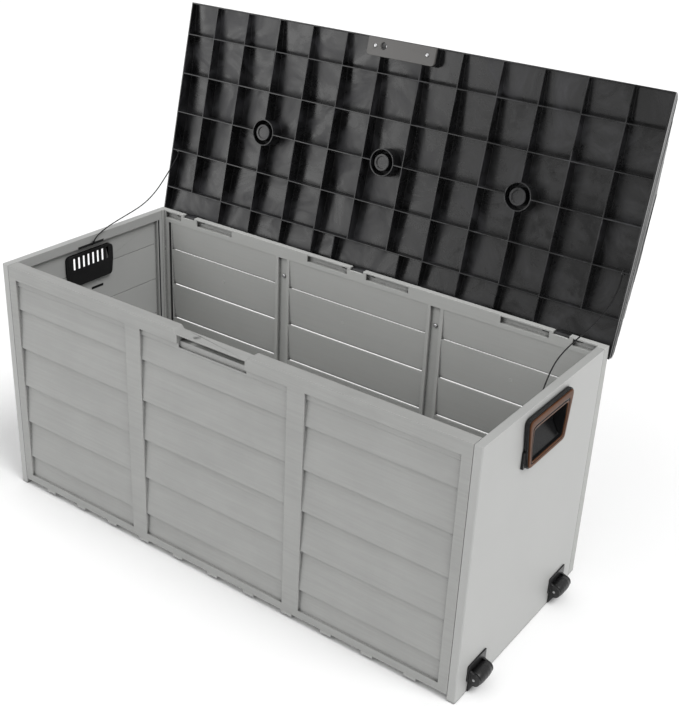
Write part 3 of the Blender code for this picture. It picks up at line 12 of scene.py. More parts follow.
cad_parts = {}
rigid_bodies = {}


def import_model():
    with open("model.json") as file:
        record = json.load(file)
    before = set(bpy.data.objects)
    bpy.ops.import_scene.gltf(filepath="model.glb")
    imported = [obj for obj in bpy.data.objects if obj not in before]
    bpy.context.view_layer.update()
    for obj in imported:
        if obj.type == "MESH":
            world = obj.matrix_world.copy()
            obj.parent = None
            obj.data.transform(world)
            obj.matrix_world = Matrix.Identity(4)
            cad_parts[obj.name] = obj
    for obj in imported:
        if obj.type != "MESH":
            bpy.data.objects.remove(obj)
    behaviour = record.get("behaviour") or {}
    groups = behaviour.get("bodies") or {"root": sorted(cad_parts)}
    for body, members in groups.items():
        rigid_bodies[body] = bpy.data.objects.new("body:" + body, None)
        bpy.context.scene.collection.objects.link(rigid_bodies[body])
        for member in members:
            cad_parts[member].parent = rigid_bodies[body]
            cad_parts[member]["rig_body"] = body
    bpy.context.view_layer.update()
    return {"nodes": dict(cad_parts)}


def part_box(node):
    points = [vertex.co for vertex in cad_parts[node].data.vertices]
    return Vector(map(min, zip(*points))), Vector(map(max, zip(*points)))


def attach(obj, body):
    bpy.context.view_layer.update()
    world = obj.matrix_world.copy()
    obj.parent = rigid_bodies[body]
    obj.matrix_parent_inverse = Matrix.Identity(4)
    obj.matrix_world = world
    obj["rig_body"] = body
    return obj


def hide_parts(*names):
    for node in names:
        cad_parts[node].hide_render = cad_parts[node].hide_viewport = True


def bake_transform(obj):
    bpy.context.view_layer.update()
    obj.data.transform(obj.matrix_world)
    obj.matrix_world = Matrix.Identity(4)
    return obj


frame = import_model()

# ---- Camera and studio. A standing person's view of the box from its right front corner, in a white
# ---- studio: a broad light overhead and to the right, a weak one in front, one that reaches only the back
# ---- panel's inside, and a card at the front left that shows in glossy surfaces alone.
LENS_MM = 61.28
SENSOR_MM = 36.0
VIEW_AZIMUTH = math.radians(34.639)
VIEW_ELEVATION = math.radians(26.532)
VIEW_ROLL = math.radians(2.720)
EYE = Vector((1.2196, -1.5939, 1.4108))
FLOOR_SIDE = 60.0
FLOOR_DROP = 0.0005
FLOOR_WHITE = (0.97, 0.97, 0.97, 1)
FLOOR_ROUGHNESS = 0.95
AIR_WHITE = (1.0, 1.0, 1.0, 1.0)
AIR_STRENGTH = 0.60

camera_data = bpy.data.cameras.new("camera")
camera_data.lens = LENS_MM
camera_data.sensor_width = SENSOR_MM
camera_data.sensor_fit = "HORIZONTAL"
camera_data.clip_start = 0.05
camera_data.clip_end = 100.0
camera = bpy.data.objects.new("camera", camera_data)
bpy.context.scene.collection.objects.link(camera)
turn = (Matrix.Rotation(VIEW_AZIMUTH, 4, "Z") @ Matrix.Rotation(math.pi / 2 - VIEW_ELEVATION, 4, "X")
        @ Matrix.Rotation(VIEW_ROLL, 4, "Z"))
camera.matrix_world = Matrix.Translation(EYE) @ turn
bpy.context.scene.camera = camera
bpy.context.scene.view_settings.view_transform = "Standard"
bpy.context.scene.view_settings.look = "None"


def soft_sun(name, towards, strength, spread_deg):
    """A very broad sun, as a large ceiling light far away."""
    sun_data = bpy.data.lights.new(name, "SUN")
    sun_data.energy = strength
    sun_data.angle = math.radians(spread_deg)
    sun = bpy.data.objects.new(name, sun_data)
    bpy.context.scene.collection.objects.link(sun)
    sun.matrix_world = Vector(towards).to_track_quat("Z", "Y").to_matrix().to_4x4()
    return sun


def reflector_card(name, place, target, width, height, watts):
    """A studio card seen only by glossy surfaces."""
    card_data = bpy.data.lights.new(name, "AREA")
    card_data.shape = "RECTANGLE"
    card_data.size = width
    card_data.size_y = height
    card_data.energy = watts
    card = bpy.data.objects.new(name, card_data)
    bpy.context.scene.collection.objects.link(card)
    aim = (Vector(target) - Vector(place)).to_track_quat("-Z", "Y")
    card.matrix_world = Matrix.Translation(place) @ aim.to_matrix().to_4x4()
    card.visible_diffuse = False
    return card


soft_sun("ceiling_light", towards=(0.55, -0.05, 0.83), strength=1.75, spread_deg=30)
soft_sun("front_light", towards=(-0.25, -0.66, 0.70), strength=0.40, spread_deg=50)
inside_light = soft_sun("inside_light", towards=(-0.10, -0.85, 0.50), strength=1.10, spread_deg=60)
reflector_card("front_left_card", place=(-3.1, -3.0, 1.1), target=(-0.4, 0.2, 0.75), width=2.4, height=2.4,
               watts=46)

world = bpy.data.worlds.new("studio")
world.use_nodes = True
world.node_tree.nodes["Background"].inputs["Color"].default_value = AIR_WHITE
world.node_tree.nodes["Background"].inputs["Strength"].default_value = AIR_STRENGTH
bpy.context.scene.world = world

ground_shape = bmesh.new()
bmesh.ops.create_grid(ground_shape, x_segments=1, y_segments=1, size=FLOOR_SIDE / 2)
ground_mesh = bpy.data.meshes.new("studio_floor")
ground_shape.to_mesh(ground_mesh)
ground_shape.free()
ground = bpy.data.objects.new("studio_floor", ground_mesh)
bpy.context.scene.collection.objects.link(ground)
ground.location.z = -FLOOR_DROP
floor_paint = bpy.data.materials.new("studio_floor")
floor_paint.use_nodes = True
floor_paint.node_tree.nodes["Principled BSDF"].inputs["Base Color"].default_value = FLOOR_WHITE
floor_paint.node_tree.nodes["Principled BSDF"].inputs["Roughness"].default_value = FLOOR_ROUGHNESS
ground_mesh.materials.append(floor_paint)


# ---- Lid stays. Two thin black braided cords, knotted behind a toggle in each end panel's rim and made
# ---- fast to a plug in the lid. They hang slack while the lid leans against its hinges.
CORD_DIAMETER = 0.0025
CORD_BLACK = (0.007, 0.007, 0.0075)
KNOT_RADIUS = 0.0026
KNOT_FROM_TOGGLE = 0.011
KNOT_TIGHTNESS = 0.8
THREAD_SCALE = 260.0
THREAD_RELIEF = 0.0002
LEFT_ROUTE = [
    (-0.5330, -0.0080, 0.4925), (-0.5306, -0.0080, 0.4925), (-0.5286, -0.0074, 0.4945),
    (-0.5279, -0.0046, 0.5000), (-0.5280, 0.0010, 0.5062), (-0.5284, 0.0120, 0.5125),
    (-0.5292, 0.0280, 0.5180), (-0.5301, 0.0480, 0.5228), (-0.5310, 0.0720, 0.5272),
    (-0.5318, 0.0960, 0.5312), (-0.5326, 0.1200, 0.5352), (-0.5334, 0.1430, 0.5400),
    (-0.5342, 0.1640, 0.5468), (-0.5350, 0.1840, 0.5560), (-0.5356, 0.2030, 0.5680),
    (-0.5362, 0.2220, 0.5830), (-0.5367, 0.2400, 0.5985), (-0.5370, 0.2550, 0.6125),
    (-0.5370, 0.2660, 0.6235), (-0.5370, 0.2719, 0.6332),
]
RIGHT_ROUTE = [
    (0.5330, 0.0100, 0.4925), (0.5306, 0.0100, 0.4925), (0.5286, 0.0103, 0.4945),
    (0.5279, 0.0122, 0.5010), (0.5282, 0.0165, 0.5105), (0.5288, 0.0225, 0.5210),
    (0.5295, 0.0305, 0.5325), (0.5303, 0.0415, 0.5430), (0.5310, 0.0575, 0.5512),
    (0.5317, 0.0790, 0.5567), (0.5324, 0.1040, 0.5602), (0.5331, 0.1300, 0.5627),
    (0.5338, 0.1560, 0.5652), (0.5345, 0.1810, 0.5685), (0.5352, 0.2050, 0.5732),
    (0.5358, 0.2270, 0.5800), (0.5363, 0.2440, 0.5900), (0.5367, 0.2565, 0.6020),
    (0.5370, 0.2670, 0.6160), (0.5370, 0.2719, 0.6332),
]


def link(tree, source, target):
    tree.links.new(source, target)


def scaled(colour, share):
    """A colour made lighter or darker, with full alpha."""
    return (*[min(1, channel * share) for channel in colour], 1)


def bump(tree, height, strength, distance):
    """Fine relief on the material's shader."""
    relief = tree.nodes.new("ShaderNodeBump")
    relief.inputs["Strength"].default_value = strength
    relief.inputs["Distance"].default_value = distance
    link(tree, height, relief.inputs["Height"])
    link(tree, relief.outputs["Normal"], tree.nodes["Principled BSDF"].inputs["Normal"])


def ramp(tree, factor, stops):
    """A colour ramp through (position, colour) stops; gives its colour output."""
    made = tree.nodes.new("ShaderNodeValToRGB")
    ends = made.color_ramp.elements
    ends[0].position, ends[0].color = stops[0]
    ends[1].position, ends[1].color = stops[-1]
    for position, colour in stops[1:-1]:
        ends.new(position).color = colour
    link(tree, factor, made.inputs["Fac"])
    return made.outputs["Color"]


def braided_polyester(name, colour):
    """Two crossing sets of fine diagonal threads, dull."""
    made = bpy.data.materials.new(name)
    made.use_nodes = True
    tree = made.node_tree
    shader = tree.nodes["Principled BSDF"]
    shader.inputs["Roughness"].default_value = 0.72
    shader.inputs["Specular IOR Level"].default_value = 0.25
    place = tree.nodes.new("ShaderNodeTexCoord")
    threads = []
    for tilt in (45, -45):
        lay = tree.nodes.new("ShaderNodeMapping")
        lay.inputs["Rotation"].default_value = (math.radians(tilt), 0, math.radians(tilt))
        link(tree, place.outputs["Object"], lay.inputs["Vector"])
        wave = tree.nodes.new("ShaderNodeTexWave")
        wave.inputs["Scale"].default_value = THREAD_SCALE
        wave.inputs["Distortion"].default_value = 0.4
        link(tree, lay.outputs["Vector"], wave.inputs["Vector"])
        threads.append(wave.outputs["Fac"])
    crossing = tree.nodes.new("ShaderNodeMath")
    crossing.operation = "MAXIMUM"
    link(tree, threads[0], crossing.inputs[0])
    link(tree, threads[1], crossing.inputs[1])
    tint = ramp(tree, crossing.outputs["Value"], [(0.0, scaled(colour, 0.4)), (1.0, scaled(colour, 1.8))])
    link(tree, tint, shader.inputs["Base Color"])
    bump(tree, crossing.outputs["Value"], 0.6, THREAD_RELIEF)
    return made


def smooth_route(points, steps=6):
    """Points on a Catmull-Rom curve through a route."""
    knots = [2 * Vector(points[0]) - Vector(points[1])] + [Vector(p) for p in points]
    knots.append(2 * knots[-1] - knots[-2])
    fine = []
    for before, start, end, after in zip(knots, knots[1:], knots[2:], knots[3:]):
        for step in range(steps):
            t = step / steps
            fine.append(0.5 * (2 * start + (end - before) * t
                               + (2 * before - 5 * start + 4 * end - after) * t * t
                               + (3 * start - before - 3 * end + after) * t ** 3))
    return fine + [knots[-2]]


def tube(name, line, diameter, finish, closed=False):
    """A round cord or wire along a line of points, as a mesh."""
    curve = bpy.data.curves.new(name, "CURVE")
    curve.dimensions = "3D"
    curve.bevel_depth = diameter / 2
    curve.bevel_resolution = 3
    curve.use_fill_caps = not closed
    spline = curve.splines.new("POLY")
    spline.points.add(len(line) - 1)
    for point, spot in zip(spline.points, line):
        point.co = (*spot, 1.0)
    spline.use_cyclic_u = closed
    drawn = bpy.data.objects.new(name + "_line", curve)
    bpy.context.scene.collection.objects.link(drawn)
    bpy.context.view_layer.update()
    mesh = bpy.data.meshes.new_from_object(drawn.evaluated_get(bpy.context.evaluated_depsgraph_get()))
    bpy.data.objects.remove(drawn, do_unlink=True)
    mesh.materials.clear()
    mesh.materials.append(finish)
    mesh.shade_smooth()
    piece = bpy.data.objects.new(name, mesh)
    bpy.context.scene.collection.objects.link(piece)
    return piece


def overhand_knot(name, centre, radius, diameter, finish):
    """A small tight knot drawn as a trefoil of the cord."""
    turns = 48
    line = []
    for step in range(turns):
        angle = math.tau * step / turns
        line.append(Vector(centre) + radius / 3 * Vector((
            math.sin(angle) + 2 * math.sin(2 * angle), -1.2 * math.sin(3 * angle),
            math.cos(angle) - 2 * math.cos(2 * angle))))
    return tube(name, line, diameter, finish, closed=True)


cord_fibre = braided_polyester("cord_fibre", CORD_BLACK)
for word, points in (("left", LEFT_ROUTE), ("right", RIGHT_ROUTE)):
    route = smooth_route(points)
    stay = tube("lid_stay_" + word, route, CORD_DIAMETER, cord_fibre)
    walked, knot_at = 0.0, route[0]
    for first, second in zip(route, route[1:]):
        walked += (second - first).length
        if walked < KNOT_FROM_TOGGLE:
            knot_at = second
    knot = overhand_knot("stay_knot_" + word, knot_at, KNOT_RADIUS, CORD_DIAMETER * KNOT_TIGHTNESS,
                         cord_fibre)
    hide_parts("lid_cord_" + word)
    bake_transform(stay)
    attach(knot, "box")


# ---- Front and back panels. Each is one injection moulding in light grey plastic: three bays of clapboard
# ---- with a faint wood grain between plain stiles, and a rail along the top. The floor clips in between,
# ---- and small round gate marks show inside, where the plastic entered the mould.
# Painted light: the front, back and end panels' greys are lit and shaded copies of one plastic, each set to
# how light falls on it.
FRONT_GREY = (0.335, 0.337, 0.328)
BACK_GREY = (0.400, 0.403, 0.392)
PANEL_ROUND = 0.0007
PANEL_FINE_ROUND = 0.0005
# Painted shade: how far the ambient-occlusion darkening of creases, laps and recesses reaches.
CREASE_SHADE_REACH = 0.012
WELD = 0.00001
FLAT_DEG = 0.1
PLASTIC_IOR = 1.49
CLOUD_SCALE = 9.0
PORE_SCALE = 700.0
GRAIN_STRETCH = (7.0, 60.0, 230.0)
GRAIN_SHARE = 0.45
MOULD_RELIEF = 0.00025
# Painted shade: the colour that creases, laps and recesses are darkened towards.
CREASE_SHADE_DARK = (0.12, 0.12, 0.12, 1)
WHITE = (1.0, 1.0, 1.0, 1.0)


def noise(tree, place, scale, detail=2.0, roughness=0.5, distortion=0.0):
    """A noise texture laid over a place; gives its factor output."""
    made = tree.nodes.new("ShaderNodeTexNoise")
    made.inputs["Scale"].default_value = scale
    made.inputs["Detail"].default_value = detail
    made.inputs["Roughness"].default_value = roughness
    made.inputs["Distortion"].default_value = distortion
    link(tree, place, made.inputs["Vector"])
    return made.outputs["Fac"]


def times_plus(tree, value, factor, added=None):
    """A value times a factor, plus another value where one is given."""
    made = tree.nodes.new("ShaderNodeMath")
    made.operation = "MULTIPLY_ADD"
    made.inputs[1].default_value = factor
    made.inputs[2].default_value = 0.0
    link(tree, value, made.inputs[0])
    if added:
        link(tree, added, made.inputs[2])
    return made.outputs["Value"]


def moulded_plastic(name, colour, roughness, grain=0.0, mottling=0.04, gloss_change=0.1, crease_shade_reach=0.0,
                    shine=0.5):
    """Plastic with slight cloudiness, a fine moulded texture and, where asked, wood grain along X and
    painted shade, its colour darkened in creases by ambient occlusion."""
    made = bpy.data.materials.new(name)
    made.use_nodes = True
    tree = made.node_tree
    shader = tree.nodes["Principled BSDF"]
    shader.inputs["IOR"].default_value = PLASTIC_IOR
    shader.inputs["Specular IOR Level"].default_value = shine
    place = tree.nodes.new("ShaderNodeTexCoord").outputs["Object"]
    clouds = noise(tree, place, CLOUD_SCALE, detail=5.0, roughness=0.6)
    height = noise(tree, place, PORE_SCALE)
    tone = clouds
    if grain:
        stretch = tree.nodes.new("ShaderNodeMapping")
        stretch.inputs["Scale"].default_value = GRAIN_STRETCH
        link(tree, place, stretch.inputs["Vector"])
        fibres = noise(tree, stretch.outputs["Vector"], 1.0, detail=4.0, distortion=0.8)
        height = times_plus(tree, fibres, grain, height)
        tone = times_plus(tree, fibres, GRAIN_SHARE, times_plus(tree, clouds, 1 - GRAIN_SHARE))
    surface = ramp(tree, tone, [(0.3, scaled(colour, 1 - mottling)), (0.7, scaled(colour, 1 + mottling))])
    if crease_shade_reach:
        # Painted shade: the base colour is darkened where ambient occlusion finds creases, laps and
        # recesses.
        occlusion_shade = tree.nodes.new("ShaderNodeAmbientOcclusion")
        occlusion_shade.samples = 6
        occlusion_shade.inputs["Distance"].default_value = crease_shade_reach
        both = tree.nodes.new("ShaderNodeMix")
        both.data_type = "RGBA"
        both.blend_type = "MULTIPLY"
        both.inputs["Factor"].default_value = 1.0
        link(tree, surface, both.inputs["A"])
        link(tree, ramp(tree, occlusion_shade.outputs["AO"], [(0.46, CREASE_SHADE_DARK), (0.70, WHITE)]), both.inputs["B"])
        surface = both.outputs["Result"]
    link(tree, surface, shader.inputs["Base Color"])
    gloss = tree.nodes.new("ShaderNodeMapRange")
    gloss.inputs["From Min"].default_value = 0.3
    gloss.inputs["From Max"].default_value = 0.7
    gloss.inputs["To Min"].default_value = roughness * (1 - gloss_change)
    gloss.inputs["To Max"].default_value = roughness * (1 + gloss_change)
    link(tree, clouds, gloss.inputs["Value"])
    link(tree, gloss.outputs["Result"], shader.inputs["Roughness"])
    bump(tree, height, 0.35, MOULD_RELIEF)
    return made


def mesh_piece(name, shape, finishes, smooth_deg=40):
    """Puts a bmesh in the scene as a piece with its finishes, smooth but for its sharp edges."""
    mesh = bpy.data.meshes.new(name)
    shape.to_mesh(mesh)
    shape.free()
    for finish in finishes:
        mesh.materials.append(finish)
    mesh.shade_smooth()
    mesh.set_sharp_from_angle(angle=math.radians(smooth_deg))
    piece = bpy.data.objects.new(name, mesh)
    bpy.context.scene.collection.objects.link(piece)
    return piece


def moulding_shape(node):
    """The CAD node's shape as a bmesh, its flat faces joined and then cut into clean triangles."""
    shape = bmesh.new()
    shape.from_mesh(frame["nodes"][node].data)
    bmesh.ops.remove_doubles(shape, verts=shape.verts, dist=WELD)
    bmesh.ops.dissolve_limit(shape, angle_limit=math.radians(FLAT_DEG), verts=shape.verts, edges=shape.edges,
                             use_dissolve_boundaries=False)
    many_sided = [face for face in shape.faces if len(face.verts) > 6]
    bmesh.ops.triangulate(shape, faces=many_sided, ngon_method="EAR_CLIP")
    return shape


def stands_for(piece, node):
    """The piece replaces a CAD node and moves as it does."""
    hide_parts(node)
    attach(piece, frame["nodes"][node]["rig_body"])
    return piece


def softened(node, finish, width=PANEL_ROUND, segments=2, angle_deg=28):
    """A moulded piece: the CAD node's shape with its sharp edges rounded off, standing in for it."""
    piece = mesh_piece("moulded_" + node, moulding_shape(node), [finish])
    rounding = piece.modifiers.new("rounding", "BEVEL")
    rounding.width = width
    rounding.segments = segments
    rounding.limit_method = "ANGLE"
    rounding.angle_limit = math.radians(angle_deg)
    rounding.use_clamp_overlap = False
    rounding.miter_outer = "MITER_SHARP"
    bpy.context.view_layer.update()
    rounded = piece.evaluated_get(bpy.context.evaluated_depsgraph_get())
    final = bpy.data.meshes.new_from_object(rounded)
    piece.modifiers.clear()
    piece.data = final
    final.shade_smooth()
    final.set_sharp_from_angle(angle=math.radians(40))
    shading = piece.modifiers.new("even_shading", "WEIGHTED_NORMAL")
    shading.keep_sharp = True
    return stands_for(piece, node)


front_plastic = moulded_plastic("front_panel_plastic", FRONT_GREY, 0.55, grain=2.6, mottling=0.09,
                                crease_shade_reach=CREASE_SHADE_REACH)
panel_plastic = moulded_plastic("back_panel_plastic", BACK_GREY, 0.60, grain=0.8, crease_shade_reach=CREASE_SHADE_REACH,
                                shine=0.2)
softened("front_panel", front_plastic)
back_piece = softened("back_panel", panel_plastic, width=PANEL_FINE_ROUND)
lit_inside = bpy.data.collections.new("lit_inside")
lit_inside.objects.link(back_piece)
inside_light.light_linking.receiver_collection = lit_inside

# The gate marks on the back panel's planks: small raised buttons with a dished middle.
GATE_XS = (-0.360, -0.030, 0.368)
GATE_Z = 0.382
GATE_FACE_Y = 0.2214
GATE_RADIUS = 0.0040
GATE_HEIGHT = 0.0011
GATE_ROOT = -0.0008


def lathe_rings(shape, profile, place, steps=24):
    """Sweeps a profile of (radius, height) round the Z axis of a place; an end on the axis closes there."""
    rings = []
    for radius, height in profile:
        if radius == 0:
            rings.append([shape.verts.new(place @ Vector((0, 0, height)))] * steps)
            continue
        rings.append([shape.verts.new(place @ Vector((radius * math.cos(math.tau * k / steps),
                                                      radius * math.sin(math.tau * k / steps), height)))
                      for k in range(steps)])
    for lower, upper in zip(rings, rings[1:]):
        for k in range(steps):
            after = (k + 1) % steps
            corners = [lower[k], lower[after], upper[after], upper[k]]
            if lower[k] is lower[after]:
                corners = [lower[k], upper[after], upper[k]]
            if upper[k] is upper[after]:
                corners = [lower[k], lower[after], upper[k]]
            shape.faces.new(corners)


def facing(place, outward):
    """A place whose Z axis points outward."""
    return Matrix.Translation(place) @ Vector(outward).to_track_quat("Z", "Y").to_matrix().to_4x4()


gates = bmesh.new()
for gate_x in GATE_XS:
    lathe_rings(gates, [(GATE_RADIUS, GATE_ROOT), (GATE_RADIUS, GATE_HEIGHT * 0.6),
                        (GATE_RADIUS * 0.8, GATE_HEIGHT), (GATE_RADIUS * 0.35, GATE_HEIGHT * 0.5),
                        (0, GATE_HEIGHT * 0.4)], facing((gate_x, GATE_FACE_Y, GATE_Z), (0, -1, 0)))
gate_plastic = moulded_plastic("gate_mark_plastic", BACK_GREY, 0.40)
gate_marks = mesh_piece("back_panel_gate_marks", gates, [gate_plastic], 60)
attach(gate_marks, "box")
lit_inside.objects.link(gate_marks)

# ---- Floor panel. A ribbed tray in the same grey plastic, snapped into the lower edges of the front and
# ---- back panels by a row of clips.
floor_plastic = moulded_plastic("floor_plastic", BACK_GREY, 0.5, crease_shade_reach=CREASE_SHADE_REACH)
softened("floor_panel", floor_plastic, width=PANEL_FINE_ROUND)

# ---- End panels. Plain mouldings in the same grey plastic, a little glossier, with a rounded front corner; their grey,
# ---- lighter than the front panel's, is painted light. They hook into the front and back panels and carry
# the handles and rollers.
END_GREY = (0.405, 0.408, 0.400)
# Painted shade: how far the crease darkening reaches on the end panels.
END_CREASE_SHADE_REACH = 0.010
END_ROUND = 0.0006
end_plastic = moulded_plastic("end_plastic", END_GREY, 0.40, mottling=0.03, crease_shade_reach=END_CREASE_SHADE_REACH)
for node in ("left_end_panel", "right_end_panel"):
    softened(node, end_plastic, width=END_ROUND)

# ---- Lid. One large black moulding, glossy and a little smudged inside, stiffened by a grid of thin ribs
# ---- and three round bosses. It turns on three lugs along its rear edge. Where the mould's ejector pins
# ---- pushed, low rings are left on its inner skin.
LID_BLACK = (0.0060, 0.0060, 0.0066)
# Painted sheen: a grey for the black lid's end faces, standing in for their glossy highlight.
SKIRT_SHEEN_GREY = (0.20, 0.20, 0.20)
LID_OPEN_DEG = 103.3
HINGE_Y = 0.2285
HINGE_Z = 0.5052
LID_REAR_Y = 0.2483
LID_RIM_Z = 0.5125
LID_DEPTH = 0.4818
LID_REAR_HEIGHT = 0.016
LID_CROWN_HEIGHT = 0.033
LID_FRONT_HEIGHT = 0.0135
LID_SKIN = 0.0025
MARK_RADIUS = 0.0068
MARK_HEIGHT = 0.0004
MARK_FLOOR = 0.0001
LID_ROUND = 0.0005
SMUDGE_SCALE = 10.0
MARK_PLACES = [(-0.217, 0.127), (-0.040, 0.186), (0.216, 0.128), (0.271, 0.205), (0.066, 0.130),
               (0.270, 0.2855), (-0.267, 0.204), (-0.019, 0.109)]
swing = (Matrix.Translation((0, HINGE_Y, HINGE_Z)) @ Matrix.Rotation(math.radians(-LID_OPEN_DEG), 4, "X")
         @ Matrix.Translation((0, -HINGE_Y, -HINGE_Z)))


def grey(level):
    """A grey with full alpha."""
    return (level, level, level, 1)


def smudged_gloss(name, colour):
    """Glossy black plastic with cloudy flow marks and rubbed patches; the patches' lighter colour is partly
    painted sheen.
    """
    made = moulded_plastic(name, colour, 0.30, mottling=0.30, gloss_change=0.12)
    tree = made.node_tree
    shader = tree.nodes["Principled BSDF"]
    place = tree.nodes.new("ShaderNodeTexCoord").outputs["Object"]
    patches = noise(tree, place, SMUDGE_SCALE, detail=6.0, roughness=0.65, distortion=1.2)
    gloss = ramp(tree, patches, [(0.34, grey(0.14)), (0.50, grey(0.31)), (0.66, grey(0.52))])
    link(tree, gloss, shader.inputs["Roughness"])
    # Lighter rubbed patches: partly real smudging, partly a painted sheen standing in for the gloss's
    # reflections.
    smudge_and_sheen_tone = ramp(tree, patches, [(0.36, scaled(colour, 0.3)), (0.52, scaled(colour, 1.5)),
                                (0.70, scaled(colour, 7.0))])
    link(tree, smudge_and_sheen_tone, shader.inputs["Base Color"])
    return made


def lid_height(from_rear):
    """Height of the lid's outer skin above its rim plane."""
    share = from_rear / LID_DEPTH
    base = LID_REAR_HEIGHT + (LID_FRONT_HEIGHT - LID_REAR_HEIGHT) * share
    rise = LID_CROWN_HEIGHT - (LID_REAR_HEIGHT + LID_FRONT_HEIGHT) / 2
    return base + rise * (1 - (2 * share - 1) ** 2)


def on_inner_skin(x, from_rear):
    """A place on the open lid's inner skin, facing out of it."""
    step = 0.005
    slope = (lid_height(from_rear + step) - lid_height(from_rear - step)) / (2 * step)
    spot = Vector((x, LID_REAR_Y - from_rear, LID_RIM_Z + lid_height(from_rear) - LID_SKIN))
    outward = swing.to_3x3() @ Vector((0, -slope, -1))
    return facing(swing @ spot, outward)


lid_plastic = smudged_gloss("lid_plastic", LID_BLACK)
skirt_sheen_plastic = moulded_plastic("lid_skirt_painted_sheen", SKIRT_SHEEN_GREY, 0.35)
lid_piece = softened("lid", lid_plastic, width=LID_ROUND)
# The lid's end faces take the grey: a painted sheen on black plastic.
lid_piece.data.materials.append(skirt_sheen_plastic)
lid_half = max(abs(corner[0]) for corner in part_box("lid"))
for face in lid_piece.data.polygons:
    if abs(face.normal.x) > 0.9 and abs(face.center.x) > lid_half - 0.001:
        face.material_index = 1
marks = bmesh.new()
for mark_x, from_rear in MARK_PLACES:
    lathe_rings(marks, [(MARK_RADIUS, -MARK_HEIGHT), (MARK_RADIUS, MARK_HEIGHT),
                        (MARK_RADIUS * 0.88, MARK_HEIGHT), (MARK_RADIUS * 0.86, MARK_FLOOR),
                        (MARK_RADIUS * 0.25, MARK_FLOOR), (MARK_RADIUS * 0.2, MARK_HEIGHT),
                        (0, MARK_HEIGHT)], on_inner_skin(mark_x, from_rear))
lid_marks = mesh_piece("lid_ejector_marks", marks, [lid_plastic], 30)
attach(lid_marks, "lid")

# ---- Lock plate. A dark grey moulding let in under the lid's front edge, with a hole for a padlock, held
# ---- by two steel screws with cross recesses.
PLATE_GREY = (0.100, 0.096, 0.092)
STEEL_GREY = (0.56, 0.56, 0.57)
LOCK_SCREW_X = 0.060
LOCK_SCREW_Y = -0.2167
LOCK_FACE_Z = 0.5067
LOCK_SCREW_RADIUS = 0.0034
SCREW_DOME = 0.0009
SCREW_HEAD_BACK = -0.0012
LOCK_SCREW_DEPTH = 0.008
PLATE_ROUND = 0.0009
TURNING_SCALE = 900.0


def brushed_steel(name, colour, roughness=0.3):
    """Plated steel with fine turning lines."""
    made = bpy.data.materials.new(name)
    made.use_nodes = True
    tree = made.node_tree
    shader = tree.nodes["Principled BSDF"]
    shader.inputs["Metallic"].default_value = 1.0
    place = tree.nodes.new("ShaderNodeTexCoord").outputs["Object"]
    lines = noise(tree, place, TURNING_SCALE, detail=3.0)
    tint = ramp(tree, lines, [(0.0, scaled(colour, 0.8)), (1.0, scaled(colour, 1.15))])
    link(tree, tint, shader.inputs["Base Color"])
    gloss = tree.nodes.new("ShaderNodeMapRange")
    gloss.inputs["To Min"].default_value = roughness * 0.7
    gloss.inputs["To Max"].default_value = roughness * 1.3
    link(tree, lines, gloss.inputs["Value"])
    link(tree, gloss.outputs["Result"], shader.inputs["Roughness"])
    return made


def block(shape, low, high, place=Matrix.Identity(4)):
    """Adds a box between two corners of a place."""
    low, high = Vector(low), Vector(high)
    stretch = Matrix.Translation((low + high) / 2) @ Matrix.Diagonal((*(high - low), 1.0))
    bmesh.ops.create_cube(shape, size=1.0, matrix=place @ stretch)


def carve(piece, cutter):
    """Cuts a cutter out of a piece for good."""
    change = piece.modifiers.new("carve", "BOOLEAN")
    change.operation = "DIFFERENCE"
    change.object = cutter
    bpy.context.view_layer.update()
    carved = bpy.data.meshes.new_from_object(piece.evaluated_get(bpy.context.evaluated_depsgraph_get()))
    piece.modifiers.clear()
    piece.data = carved
    bpy.data.objects.remove(cutter, do_unlink=True)
    carved.set_sharp_from_angle(angle=math.radians(35))


def cross_screw(node, place, radius, dome, depth):
    """A pan head with a cross recess, and its shank behind it, standing in for a CAD screw."""
    shape = bmesh.new()
    lathe_rings(shape, [(0, -depth), (radius * 0.42, -depth), (radius * 0.42, SCREW_HEAD_BACK),
                        (radius, SCREW_HEAD_BACK), (radius, dome * 0.25), (radius * 0.93, dome * 0.6),
                        (radius * 0.6, dome), (0, dome * 1.1)], place, 32)
    piece = mesh_piece("cross_" + node, shape, [steel])
    recess = bmesh.new()
    arm, slot = radius * 0.58, radius * 0.13
    block(recess, (-arm, -slot, -dome * 0.4), (arm, slot, dome * 3), place)
    across = bmesh.new()
    block(across, (-slot, -arm, -dome * 0.4), (slot, arm, dome * 3), place)
    carve(piece, mesh_piece("recess", recess, [steel]))
    carve(piece, mesh_piece("recess", across, [steel]))
    return stands_for(piece, node)


plate_plastic = moulded_plastic("plate_plastic", PLATE_GREY, 0.32)
softened("lock_plate", plate_plastic, width=PLATE_ROUND, segments=3)
steel = brushed_steel("steel", STEEL_GREY)
lid_outward = swing.to_3x3() @ Vector((0, 0, -1))
for side, word in ((-1, "left"), (1, "right")):
    head = swing @ Vector((side * LOCK_SCREW_X, LOCK_SCREW_Y, LOCK_FACE_Z))
    cross_screw("lock_plate_screw_" + word, facing(head, lid_outward), LOCK_SCREW_RADIUS, SCREW_DOME,
                LOCK_SCREW_DEPTH)

# ---- Hinge pins. Three plain steel rods, cut from drawn wire, each pushed through the back panel's bosses
# ---- and a lug of the lid, where the bosses' friction holds it.
for word in ("left", "centre", "right"):
    pin = frame["nodes"]["hinge_pin_" + word]
    pin.data.materials.clear()
    pin.data.materials.append(steel)

